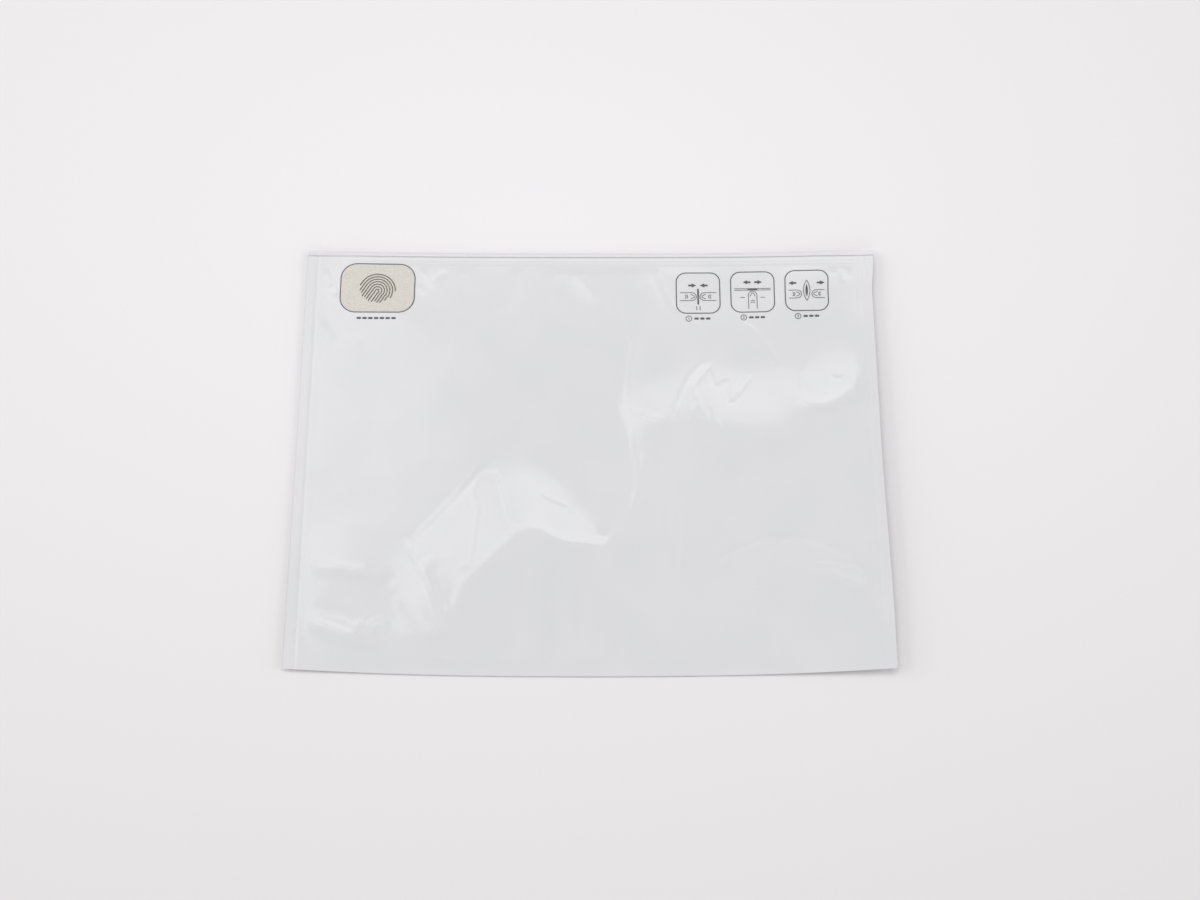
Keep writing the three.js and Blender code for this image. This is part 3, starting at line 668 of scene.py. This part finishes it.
def seam_relief(x, y):
    """The weld's fine cross ribs and the line along its inner edge."""
    from_edge = HALF_WIDTH - np.abs(x)
    band = ramp((SEAM_WIDTH - from_edge) / SEAM_LINE_WIDTH)
    ribs = SEAM_RIB_HEIGHT * np.sin(2 * pi * y / SEAM_RIB_PITCH)
    line = np.exp(-((from_edge - SEAM_WIDTH) / SEAM_LINE_WIDTH) ** 2)
    return band * ribs - SEAM_LINE_DEPTH * line


def front_height(x, y):
    """Height of the front film over a point of the flat plan."""
    across, along = bowed(x, y)
    waves = WAVE_HEIGHT * film_noise(across, along, WAVE_SCALE, WAVE_SEED)
    waves += RIPPLE_HEIGHT * film_noise(across, along, RIPPLE_SCALE, RIPPLE_SEED)
    crumpled = ramp((CRUMPLE_START - across) / CRUMPLE_RUN)
    slanted = along + CRUMPLE_SLANT * across
    waves += CRUMPLE_HEIGHT * crumpled * film_noise(across, slanted, CRUMPLE_SCALE, CRUMPLE_SEED)
    relief = looseness(x, y) * (broad_relief(across, along) + sharp_relief(across, along) + waves)
    relief = np.maximum(relief, -FRONT_SINK * local_height(x, y))
    return front_base(x, y) + relief + strip_relief(x, y) + seam_relief(x, y)


def back_height(x, y):
    """The back film: flat where it rests, a little drawn up in long soft folds elsewhere."""
    away, _, height = follow(x, y, drawn_through(BACK_FOLD))
    middle = height * two_sided(away, BACK_FOLD_RUN, BACK_FOLD_RUN)
    waves = BACK_WAVE_HEIGHT * np.clip(film_noise(x, y, BACK_WAVE_SCALE, BACK_WAVE_SEED), 0, None)
    return back_base(x, y) + looseness(x, y) * np.minimum(middle + waves, BACK_RISE * local_height(x, y))


def stations(low, high, step):
    """Even stations between two ends."""
    return np.linspace(low, high, round((high - low) / step) + 1)


def front_grid():
    """x and y of the front film's points, as two arrays with a column for each x."""
    inner = HALF_WIDTH - SEAM_WIDTH - EDGE_MARGIN
    side = stations(inner, HALF_WIDTH, EDGE_STEP)
    xs = np.concatenate([-side[::-1], stations(-inner, inner, FRONT_STEP)[1:-1], side])
    fold = FOLD_MARGIN - HALF_LENGTH
    strip = HALF_LENGTH - STRIP_END - EDGE_MARGIN
    turn = stations(-HALF_LENGTH, fold, EDGE_STEP)[:-1]
    middle = stations(fold, strip, FRONT_STEP)[:-1]
    mouth = stations(strip, HALF_LENGTH - LIP_STEP, EDGE_STEP)
    ys = np.concatenate([turn, middle, mouth])
    return np.meshgrid(xs, ys, indexing="ij")


def back_grid():
    """x and y of the back film's points."""
    xs = stations(-HALF_WIDTH, HALF_WIDTH, BACK_STEP)
    ys = stations(-HALF_LENGTH, HALF_LENGTH, BACK_STEP)
    return np.meshgrid(xs, ys, indexing="ij")


def laid_sheet(bm, x, y, z, upwards):
    """A grid of the given points, its faces up or down. Returns its vertices as rows of columns."""
    columns, rows = x.shape
    made = bmesh.ops.create_grid(bm, x_segments=columns - 1, y_segments=rows - 1, size=1)
    verts = sorted(made["verts"], key=lambda v: (round(v.co.x * (columns - 1)), round(v.co.y * (rows - 1))))
    places = np.stack([x, y, z], axis=-1).reshape(-1, 3) * MM
    for vert, place in zip(verts, places):
        vert.co = place
    if not upwards:
        bmesh.ops.reverse_faces(bm, faces=list({face for vert in verts for face in vert.link_faces}))
    return np.array(verts, dtype=object).reshape(columns, rows)


def new_object(name, bm, material):
    """The bmesh as a smooth-shaded piece that rides on the bag's body."""
    for edge in bm.edges:
        edge.smooth = edge.calc_face_angle(0) < radians(SHARP_ANGLE)
    for face in bm.faces:
        face.smooth = True
    mesh = bpy.data.meshes.new(name)
    bm.to_mesh(mesh)
    bm.free()
    mesh.materials.append(material)
    piece = bpy.data.objects.new(name, mesh)
    bpy.context.scene.collection.objects.link(piece)
    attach(piece, "root")
    return piece


def lip_profile(x):
    """From the front lip's edge down into the mouth and out to the back lip's edge: (y, z) for each x."""
    closed = 1 - ramp((HALF_WIDTH - SEAM_WIDTH - STRIP_WELD / 2 - np.abs(x)) / MOUTH_END_RUN)
    lip = HALF_LENGTH - LIP_STEP
    deep = HALF_LENGTH - STRIP_TOP
    lip_z = front_base(x, lip)
    deep_z = front_base(x, deep)
    floor_lip = back_base(x, lip)
    floor_deep = back_base(x, deep)
    floor_edge = back_base(x, HALF_LENGTH)
    gap_lip = np.maximum(LEAST_GAP, (lip_z - floor_lip - 2 * FILM) * (1 - closed))
    gap_deep = np.maximum(LEAST_GAP, DEEP_GAP_SHARE * (deep_z - floor_deep - 2 * FILM) * (1 - closed))
    return [
        (lip, lip_z - FILM),
        (deep, deep_z - FILM),
        (deep, deep_z - FILM - gap_deep),
        (lip, lip_z - FILM - gap_lip),
        (HALF_LENGTH, floor_edge + FILM),
    ]


def new_verts(made):
    """The vertices that an operator made."""
    return [item for item in made["geom"] if isinstance(item, bmesh.types.BMVert)]


def make_bag_film(material):
    """Front film, mouth, back film and seams as one closed skin. Its material reads the mark on the front
    lip's edge, where a thin dark line of shade between the lips is painted."""
    bm = bmesh.new()
    lip_shade = bm.verts.layers.float.new("lip_shade")
    x, y = front_grid()
    front = laid_sheet(bm, *bowed(x, y), front_height(x, y), True)
    # Painted shade: the last rows of the front lip are marked for a dark shadow line along its edge
    for vert in front[:, -LIP_SHADE_ROWS:].ravel():
        vert[lip_shade] = 1
    edge = list(front[:, -1])
    for level, height in lip_profile(x[:, -1]):
        border = [a.link_edges for a in edge]
        row = [next(e for e in border[i] if edge[i + 1] in e.verts) for i in range(len(edge) - 1)]
        made = bmesh.ops.extrude_edge_only(bm, edges=row)
        edge = sorted(new_verts(made), key=lambda vert: vert.co.x)
        for vert, place in zip(edge, np.stack([*bowed(x[:, -1], level), height], axis=-1) * MM):
            vert.co = place
            vert[lip_shade] = 0
    back_x, back_y = back_grid()
    laid_sheet(bm, *bowed(back_x, back_y), back_height(back_x, back_y), False)
    rims = [e for e in bm.edges if e.is_boundary]
    bmesh.ops.bridge_loops(bm, edges=rims)
    bmesh.ops.recalc_face_normals(bm, faces=bm.faces)
    piece = new_object("bag_film", bm, material)
    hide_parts("bag")
    return piece


def film_tree(piece):
    """The finished film as a tree that can be sought from above."""
    mesh = piece.data
    return BVHTree.FromPolygons([v.co for v in mesh.vertices], [p.vertices for p in mesh.polygons])


def draw_line(bm, points, width, closed=False):
    """A flat ribbon along points in the flat plan."""
    ends = np.array([*points, points[0]] if closed else points, dtype=float)
    run = np.insert(np.cumsum(np.hypot(*np.diff(ends, axis=0).T)), 0, 0)
    stops = np.linspace(0, run[-1], max(3, round(run[-1] / PRINT_STEP) + 1))
    path = np.stack([np.interp(stops, run, ends[:, k]) for k in (0, 1)], axis=-1)
    if closed:
        path = path[:-1]
        ahead = np.roll(path, -1, axis=0) - np.roll(path, 1, axis=0)
    else:
        ahead = np.gradient(path, axis=0)
    ahead /= np.hypot(*ahead.T)[:, None]
    aside = np.stack([-ahead[:, 1], ahead[:, 0]], axis=-1) * width / 2
    verts = [bm.verts.new((*point, 0)) for point in path + aside]
    pairs = list(zip(verts, verts[1:]))
    if closed:
        pairs.append((verts[-1], verts[0]))
    made = bmesh.ops.extrude_edge_only(bm, edges=[bm.edges.new(pair) for pair in pairs])
    index = {vert: i for i, vert in enumerate(verts)}
    for vert in new_verts(made):
        source = next(e.other_vert(vert) for e in vert.link_edges if e.other_vert(vert) in index)
        vert.co = (*(path - aside)[index[source]], 0)


def cut_into_cells(bm, geom, low, high):
    """Cuts flat geometry into cells that are small enough to follow the film."""
    for axis in (0, 1):
        across = Vector((1 - axis, axis, 0))
        for level in np.arange(low[axis] + PRINT_STEP, high[axis], PRINT_STEP):
            made = bmesh.ops.bisect_plane(bm, geom=geom, plane_co=across * level, plane_no=across)
            geom = made["geom"]


def fill_outline(bm, points):
    """A filled outline in the flat plan, cut into cells."""
    face = bm.faces.new([bm.verts.new((*point, 0)) for point in points])
    outline = np.array(points)
    cut_into_cells(bm, [face, *face.edges, *face.verts], outline.min(axis=0), outline.max(axis=0))


def arc_points(centre, radius, start, end, steps=10):
    """Points on an arc between two angles in degrees."""
    angles = [radians(mix(start, end, k / steps)) for k in range(steps + 1)]
    return [(centre[0] + radius * cos(angle), centre[1] + radius * sin(angle)) for angle in angles]


def rounded_outline(centre, width, height, corner):
    """A rectangle with round corners, anticlockwise."""
    points = []
    for quarter, (side, end) in enumerate([(1, 1), (-1, 1), (-1, -1), (1, -1)]):
        middle = (centre[0] + side * (width / 2 - corner), centre[1] + end * (height / 2 - corner))
        points += arc_points(middle, corner, 90 * quarter, 90 * (quarter + 1))
    return points


def lay_print(name, bm, layer, material, nodes):
    """Bows a flat drawing, lays it over the film as a thin closed layer, and puts it for its nodes."""
    bmesh.ops.remove_doubles(bm, verts=bm.verts, dist=PRINT_MERGE)
    level = PRINT_CLEARANCE + layer * (PRINT_CLEARANCE + PRINT_THICKNESS)
    for vert in bm.verts:
        across, along = bowed(vert.co.x, vert.co.y)
        above = Vector((across * MM, along * MM, 1))
        vert.co = FILM_TREE.ray_cast(above, Vector((0, 0, -1)))[0] + Vector((0, 0, level * MM))
    made = bmesh.ops.extrude_face_region(bm, geom=bm.faces[:])
    bmesh.ops.translate(bm, verts=new_verts(made), vec=(0, 0, PRINT_THICKNESS * MM))
    bmesh.ops.recalc_face_normals(bm, faces=bm.faces)
    piece = new_object(name, bm, material)
    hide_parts(*nodes)
    return piece


PAD_CENTRE = (
    PAD_FROM_LEFT + PAD_BORDER + PAD_WIDTH / 2 - HALF_WIDTH,
    HALF_LENGTH - PAD_FROM_TOP - PAD_BORDER - PAD_HEIGHT / 2,
)


def thumb_ridges():
    """Lines of the thumb mark: nested arches, turned and clipped to its oval."""
    kept = []
    turn = radians(MARK_TURN)
    legs = range(1, LEG_POINTS + 1)
    for i in range(RIDGE_COUNT):
        radius = (i + FIRST_RIDGE) * RIDGE_PITCH
        left = [(-radius, -LEG_STEP * k) for k in reversed(legs)]
        right = [(radius * RIGHT_LEG_SHARE, -LEG_STEP * k) for k in legs]
        arch = arc_points((0, 0), radius, 180, 0, RIDGE_STEPS)
        points = np.array(left + arch + right) + LOOP_PLACE
        turned = points @ np.array([[cos(turn), sin(turn)], [-sin(turn), cos(turn)]])
        share = np.hypot(turned[:, 0] / MARK_HALF_WIDTH, turned[:, 1] / MARK_HALF_HEIGHT)
        inside = np.where(share < 1 - MARK_RAGGED * np.sin(RAGGED_PACE * turned[:, 0]))[0]
        for run in np.split(inside, np.where(np.diff(inside) > 1)[0] + 1):
            if len(run) >= FEWEST_POINTS:
                kept.append(turned[run] + PAD_CENTRE)
    return kept


def draw_dashes(bm, centre, count):
    """A row of plain dashes about a centre."""
    pitch = DASH_LENGTH + DASH_GAP
    for i in range(count):
        middle = (centre[0] + (i - (count - 1) / 2) * pitch, centre[1])
        fill_outline(bm, rounded_outline(middle, DASH_LENGTH, DASH_HEIGHT, DASH_HEIGHT / 3))


def make_pad():
    """The grained field, its outline, the thumb mark and a row of dashes."""
    field = bmesh.new()
    fill_outline(field, rounded_outline(PAD_CENTRE, PAD_WIDTH, PAD_HEIGHT, PAD_CORNER))
    lay_print("pad_field", field, 0, pad_print, ["pinch_pad"])
    ring = bmesh.new()
    grown = 2 * PAD_BORDER - PAD_OUTLINE
    outline = rounded_outline(PAD_CENTRE, PAD_WIDTH + grown, PAD_HEIGHT + grown, PAD_CORNER + grown / 2)
    draw_line(ring, outline, INK_LINE, True)
    lay_print("pad_ring", ring, 0, ink, ["pinch_pad_outline"])
    mark = bmesh.new()
    for line in thumb_ridges():
        draw_line(mark, line, RIDGE_LINE)
    ridges = [f"thumb_ridge_{i}" for i in range(1, 6)]
    lay_print("thumb_mark", mark, 1, ink, [*ridges, "thumb_ridge_base"])
    row = bmesh.new()
    level = PAD_CENTRE[1] - PAD_HEIGHT / 2 - PAD_BORDER - ROW_DROP
    draw_dashes(row, (PAD_CENTRE[0], level), PAD_DASHES)
    lay_print("pad_caption", row, 0, ink, ["pad_caption_bar"])


def draw_digit(bm, centre, digit):
    """A small plain digit inside a circle."""
    last = 360 - 360 / CIRCLE_POINTS
    draw_line(bm, arc_points(centre, DIGIT_CIRCLE, 0, last, CIRCLE_POINTS - 1), FINE_INK_LINE, True)
    letters = bpy.data.curves.new("digit", "FONT")
    letters.body = str(digit)
    letters.size = DIGIT_HEIGHT
    letters.align_x = "CENTER"
    letters.align_y = "CENTER"
    letters.resolution_u = 3
    holder = bpy.data.objects.new("digit", letters)
    mesh = bpy.data.meshes.new_from_object(holder)
    before = set(bm.verts)
    bm.from_mesh(mesh)
    new = [vert for vert in bm.verts if vert not in before]
    bmesh.ops.translate(bm, verts=new, vec=(*centre, 0))
    bpy.data.objects.remove(holder)
    bpy.data.curves.remove(letters)
    bpy.data.meshes.remove(mesh)


def placed(tip, direction, back, side):
    """A point behind a tip that faces a direction, and to its left."""
    return (
        tip[0] - direction[0] * back - direction[1] * side,
        tip[1] - direction[1] * back + direction[0] * side,
    )


def draw_arrow(bm, tip, direction):
    """A solid arrow with its point at the tip."""
    half_head, half_shaft = ARROW_HEAD / 2, ARROW_SHAFT / 2
    corners = [
        (0, 0), (ARROW_HEAD, half_head), (ARROW_HEAD, half_shaft), (ARROW_LENGTH, half_shaft),
        (ARROW_LENGTH, -half_shaft), (ARROW_HEAD, -half_shaft), (ARROW_HEAD, -half_head),
    ]
    fill_outline(bm, [placed(tip, direction, *corner) for corner in corners])


def bow(start, depth, half_width, steps):
    """A shallow curve across a finger, as places behind its tip and to its left."""
    shares = [2 * k / steps - 1 for k in range(steps + 1)]
    return [(start + depth * share ** 2, half_width * share) for share in shares]


def draw_finger(bm, tip, direction, length, steps=12):
    """A fingertip as a long U, with its nail and two knuckle lines."""
    radius = FINGER_WIDTH / 2
    angles = [pi * k / steps for k in range(steps + 1)]
    round_end = [(radius - radius * sin(angle), radius * cos(angle)) for angle in angles]
    outline = [(length, radius), *round_end, (length, -radius)]
    nail = bow(NAIL_BACK, NAIL_LENGTH, NAIL_HALF_WIDTH, 8)
    bends = [bow(share * length, KNUCKLE_BEND, KNUCKLE_HALF_WIDTH, 6) for share in KNUCKLES]
    for line in (outline, nail, *bends):
        draw_line(bm, [placed(tip, direction, *point) for point in line], FINE_INK_LINE)


def frame_centre(step):
    """The middle of a frame, counted back from the last one."""
    back = STEP_COUNT - step
    half_frame = (FRAME_SIZE + FRAME_BORDER) / 2
    return (
        HALF_WIDTH - FRAMES_FROM_RIGHT - half_frame - back * (FRAME_SIZE + FRAME_GAP),
        HALF_LENGTH - FRAMES_FROM_TOP - half_frame - back * FRAME_DROP_PER_STEP,
    )


RIGHT, LEFT, UP = (1, 0), (-1, 0), (0, 1)
MARK_REACH = FRAME_SIZE / 2 - MARK_MARGIN
ARROW_LEVEL = FINGER_WIDTH / 2 + ARROW_RISE - MARK_DROP


def draw_pinch(bm, x, y):
    """Two fingertips press on an upright edge, with an arrow over each."""
    fill_outline(bm, rounded_outline((x, y - MARK_DROP), PINCHED_EDGE, 2 * FINGER_WIDTH, 0.4))
    low, high = EDGE_TAIL
    for side in (x - PINCHED_EDGE, x + PINCHED_EDGE):
        draw_line(bm, [(side, y + low), (side, y + high)], FINE_INK_LINE)
    for side, direction in ((-1, RIGHT), (1, LEFT)):
        draw_finger(bm, (x + side * FINGER_GAP, y - MARK_DROP), direction, MARK_REACH - FINGER_GAP)
        draw_arrow(bm, (x + side * FINGER_GAP, y + ARROW_LEVEL), direction)


def draw_slide(bm, x, y):
    """One fingertip under a long line, with an arrow each way over it."""
    level = y + SLIDE_LINE_RISE
    for rise in (-SLIDE_LINE_HALF_GAP, SLIDE_LINE_HALF_GAP):
        draw_line(bm, [(x - MARK_REACH, level + rise), (x + MARK_REACH, level + rise)], FINE_INK_LINE)
    fill_outline(bm, rounded_outline((x, level), *SLIDER_SIZE, 0.5))
    tip = level - FINGER_GAP
    draw_finger(bm, (x, tip), UP, tip - y + FRAME_SIZE / 2 - MARK_MARGIN)
    reach = FINGER_GAP + ARROW_LENGTH
    for side, direction in ((-1, LEFT), (1, RIGHT)):
        draw_arrow(bm, (x + side * reach, level + ARROW_RISE), direction)
        draw_line(bm, [(x + side * end, y - SLIDE_TICK_DROP) for end in SLIDE_TICK], FINE_INK_LINE)


def draw_opening(bm, x, y):
    """A leaf-shaped opening between two fingertips that draw apart."""
    leaf = []
    for k in range(OPENING_POINTS):
        angle = 2 * pi * k / OPENING_POINTS
        bulge = sin(angle) * abs(sin(angle))
        leaf.append((x + OPENING_WIDTH / 2 * bulge, y + OPENING_HEIGHT / 2 * cos(angle)))
    draw_line(bm, leaf, FINE_INK_LINE, True)
    across, along = OPENING_HEART
    fill_outline(bm, [(x + across * (u - x), y + along * (v - y)) for u, v in leaf])
    side_gap = OPENING_WIDTH / 2 + FINGER_GAP
    for side, direction in ((-1, RIGHT), (1, LEFT)):
        draw_finger(bm, (x + side * side_gap, y - MARK_DROP), direction, MARK_REACH - side_gap)
        draw_arrow(bm, (x + side * MARK_REACH, y + ARROW_LEVEL), (side, 0))


def make_steps():
    """Three frames, each with its marks and a numbered row of dashes."""
    marks = {
        1: (draw_pinch, ["edge", "finger_left", "finger_right", "arrow_left", "arrow_right"]),
        2: (draw_slide, ["line", "finger", "arrow_left", "arrow_right"]),
        3: (draw_opening, ["opening", "finger_left", "finger_right", "arrow_left", "arrow_right"]),
    }
    for step, (draw_marks, parts) in marks.items():
        x, y = frame_centre(step)
        frame_line = bmesh.new()
        draw_line(frame_line, rounded_outline((x, y), FRAME_SIZE, FRAME_SIZE, FRAME_CORNER), INK_LINE, True)
        lay_print(f"step_{step}_frame_line", frame_line, 0, ink, [f"step_{step}_frame"])
        drawing = bmesh.new()
        draw_marks(drawing, x, y)
        lay_print(f"step_{step}_marks", drawing, 0, ink, [f"step_{step}_{part}" for part in parts])
        row = bmesh.new()
        level = y - FRAME_SIZE / 2 - ROW_DROP
        draw_digit(row, (x + DIGIT_PLACE, level), step)
        draw_dashes(row, (x + DASHES_PLACE, level), FRAME_DASHES)
        lay_print(f"step_{step}_caption", row, 0, ink, [f"step_{step}_caption_bar"])


# Colours, each pair the ends between which a tone changes
FILM_WHITE = (0.725, 0.725, 0.74)
FILM_TONES = ((0.715, 0.718, 0.73), (0.732, 0.727, 0.75))
# Painted shade: the dark shadow line along the front lip's edge
LIP_SHADE_GREY = (0.46, 0.45, 0.46)
PAD_GREY = (0.69, 0.66, 0.605)
PAD_SPECKLE = (0.60, 0.565, 0.51)
INK_GREY = (0.085, 0.078, 0.074)
INK_TONES = ((0.07, 0.064, 0.06), (0.13, 0.12, 0.114))
TABLE_PALE = (0.86, 0.845, 0.855)
# Painted light: the table's tone from its darker edges to the pool of light round the bag
TABLE_LIGHT_POOL_TONES = ((0.79, 0.765, 0.775), (0.868, 0.853, 0.863))


def plain_material(name, colour, roughness):
    """A material with its Principled shader and output, ready for more nodes."""
    material = bpy.data.materials.new(name)
    material.use_nodes = True
    shader = material.node_tree.nodes["Principled BSDF"]
    shader.inputs["Base Color"].default_value = (*colour, 1)
    shader.inputs["Roughness"].default_value = roughness
    return material, shader


def add_node(tree, kind, **values):
    """A node with its settings and the values of its inputs."""
    node = tree.nodes.new(kind)
    for name, value in values.items():
        if hasattr(node, name):
            setattr(node, name, value)
        else:
            node.inputs[name.replace("_", " ")].default_value = value
    return node


def grain_group():
    """Soft random height and mask at a given size, in object space."""
    group = bpy.data.node_groups.new("fine_grain", "ShaderNodeTree")
    group.interface.new_socket("Size", in_out="INPUT", socket_type="NodeSocketFloat")
    group.interface.new_socket("Detail", in_out="INPUT", socket_type="NodeSocketFloat")
    group.interface.new_socket("Height", in_out="OUTPUT", socket_type="NodeSocketFloat")
    inside = group.nodes.new("NodeGroupInput")
    outside = group.nodes.new("NodeGroupOutput")
    place = group.nodes.new("ShaderNodeTexCoord")
    grain = group.nodes.new("ShaderNodeTexNoise")
    group.links.new(place.outputs["Object"], grain.inputs["Vector"])
    group.links.new(inside.outputs["Size"], grain.inputs["Scale"])
    group.links.new(inside.outputs["Detail"], grain.inputs["Detail"])
    group.links.new(grain.outputs["Fac"], outside.inputs["Height"])
    return group


GRAIN = grain_group()


def grain(tree, size, detail):
    """The height of the shared grain, at a size in millimetres."""
    node = tree.nodes.new("ShaderNodeGroup")
    node.node_tree = GRAIN
    node.inputs["Size"].default_value = 1 / (size * MM)
    node.inputs["Detail"].default_value = detail
    return node.outputs["Height"]


def spread_out(tree, value, **ends):
    """A value stretched from one range to another."""
    node = add_node(tree, "ShaderNodeMapRange", **ends)
    tree.links.new(value, node.inputs["Value"])
    return node.outputs["Result"]


def blend(tree, share, low, high):
    """A colour between two others, by a share."""
    node = add_node(tree, "ShaderNodeMix", data_type="RGBA")
    node.inputs["A"].default_value = (*low, 1)
    node.inputs["B"].default_value = (*high, 1)
    tree.links.new(share, node.inputs["Factor"])
    return node


def film_material():
    """Glossy white film with a faint silver cast, softly scuffed, its tint a little uneven, with painted
    shade along the front lip's edge.
    """
    material, shader = plain_material("film", FILM_WHITE, 0.18)
    tree = material.node_tree
    share = spread_out(tree, grain(tree, size=30, detail=2), From_Min=0.35, From_Max=0.65)
    tone = blend(tree, share, *FILM_TONES)
    # Painted shade: the marked rows darken to a thin shadow line between the lips
    cut = add_node(tree, "ShaderNodeAttribute", attribute_name="lip_shade")
    lip_shaded = blend(tree, cut.outputs["Fac"], FILM_WHITE, LIP_SHADE_GREY)
    tree.links.new(tone.outputs["Result"], lip_shaded.inputs["A"])
    tree.links.new(lip_shaded.outputs["Result"], shader.inputs["Base Color"])
    shader.inputs["IOR"].default_value = 1.5
    scuff = spread_out(tree, grain(tree, size=14, detail=3), To_Min=0.14, To_Max=0.23)
    tree.links.new(scuff, shader.inputs["Roughness"])
    bump = add_node(tree, "ShaderNodeBump", Strength=0.05, Distance=0.0001)
    tree.links.new(grain(tree, size=1.6, detail=2), bump.inputs["Height"])
    tree.links.new(bump.outputs["Normal"], shader.inputs["Normal"])
    return material


def pad_material():
    """Warm grey print with a fine speckle."""
    material, shader = plain_material("pad_print", PAD_GREY, 0.6)
    tree = material.node_tree
    share = spread_out(tree, grain(tree, size=0.7, detail=3), From_Min=0.42, From_Max=0.68)
    tone = blend(tree, share, PAD_GREY, PAD_SPECKLE)
    tree.links.new(tone.outputs["Result"], shader.inputs["Base Color"])
    return material


def ink_material():
    """Thin dark grey ink with slightly uneven cover."""
    material, shader = plain_material("ink", INK_GREY, 0.45)
    tree = material.node_tree
    tone = blend(tree, grain(tree, size=1.3, detail=2), *INK_TONES)
    tree.links.new(tone.outputs["Result"], shader.inputs["Base Color"])
    return material


def table_material():
    """A matt pale table with a painted pool of light: brighter round the bag, darker further out."""
    material, shader = plain_material("table", TABLE_PALE, 0.9)
    shader.inputs["Specular IOR Level"].default_value = 0.1
    tree = material.node_tree
    place = tree.nodes.new("ShaderNodeTexCoord")
    # Painted light: an oval pool of light round the bag, fading towards the table's edges
    oval = add_node(tree, "ShaderNodeMapping", Location=(0.02, -0.16, 0), Scale=(1, 1.6, 1))
    light_pool = add_node(tree, "ShaderNodeTexGradient", gradient_type="SPHERICAL")
    tree.links.new(place.outputs["Object"], oval.inputs["Vector"])
    tree.links.new(oval.outputs["Vector"], light_pool.inputs["Vector"])
    share = spread_out(tree, light_pool.outputs["Fac"], From_Min=0.42, From_Max=0.95)
    tone = blend(tree, share, *TABLE_LIGHT_POOL_TONES)
    tree.links.new(tone.outputs["Result"], shader.inputs["Base Color"])
    return material


def make_floor():
    """A pale table with a painted pool of light round the bag, which isn't part of the bag."""
    bm = bmesh.new()
    bmesh.ops.create_grid(bm, x_segments=1, y_segments=1, size=4)
    mesh = bpy.data.meshes.new("table_top")
    bm.to_mesh(mesh)
    bm.free()
    mesh.materials.append(table_material())
    floor = bpy.data.objects.new("table_top", mesh)
    floor.location.z = -TABLE_GAP * MM
    bpy.context.scene.collection.objects.link(floor)


# White light: the world's strength, and panels as place, width and length in metres, and radiance
WORLD_LIGHT = 0.43
PANELS = {
    "far_panel": ((0.2, 2.04, 2.46), 3.2, 1.32, 2.25),
    "left_back_panel": ((-1.5, 0.9, 2.6), 1.5, 1.8, 1.5),
    "left_panel": ((-6.6, 1.0, 2.0), 5, 3.4, 4.7),
    "right_panel": ((6.0, 0.0, 1.6), 4, 2.6, 5.5),
    "front_panel": ((0.0, -6.0, 1.3), 4.5, 2.0, 3.4),
}


def add_panel(name, place, width, length, radiance):
    """A soft light panel that faces the bag. Radiance 1 shows as plain white."""
    data = bpy.data.lights.new(name, "AREA")
    data.shape = "RECTANGLE"
    data.size = width
    data.size_y = length
    data.energy = radiance * pi * width * length
    lamp = bpy.data.objects.new(name, data)
    lamp.location = place
    lamp.rotation_euler = (-Vector(place)).to_track_quat("-Z", "Y").to_euler()
    bpy.context.scene.collection.objects.link(lamp)


def make_light():
    """An even white world, and the panels."""
    world = bpy.data.worlds.new("studio")
    world.use_nodes = True
    sky = world.node_tree.nodes["Background"]
    sky.inputs["Color"].default_value = (1, 1, 1, 1)
    sky.inputs["Strength"].default_value = WORLD_LIGHT
    bpy.context.scene.world = world
    for name, panel in PANELS.items():
        add_panel(name, *panel)


film = film_material()
pad_print = pad_material()
ink = ink_material()
bag_film = make_bag_film(film)
FILM_TREE = film_tree(bag_film)
make_pad()
make_steps()
make_floor()
make_light()
bpy.context.scene.view_settings.view_transform = "Standard"
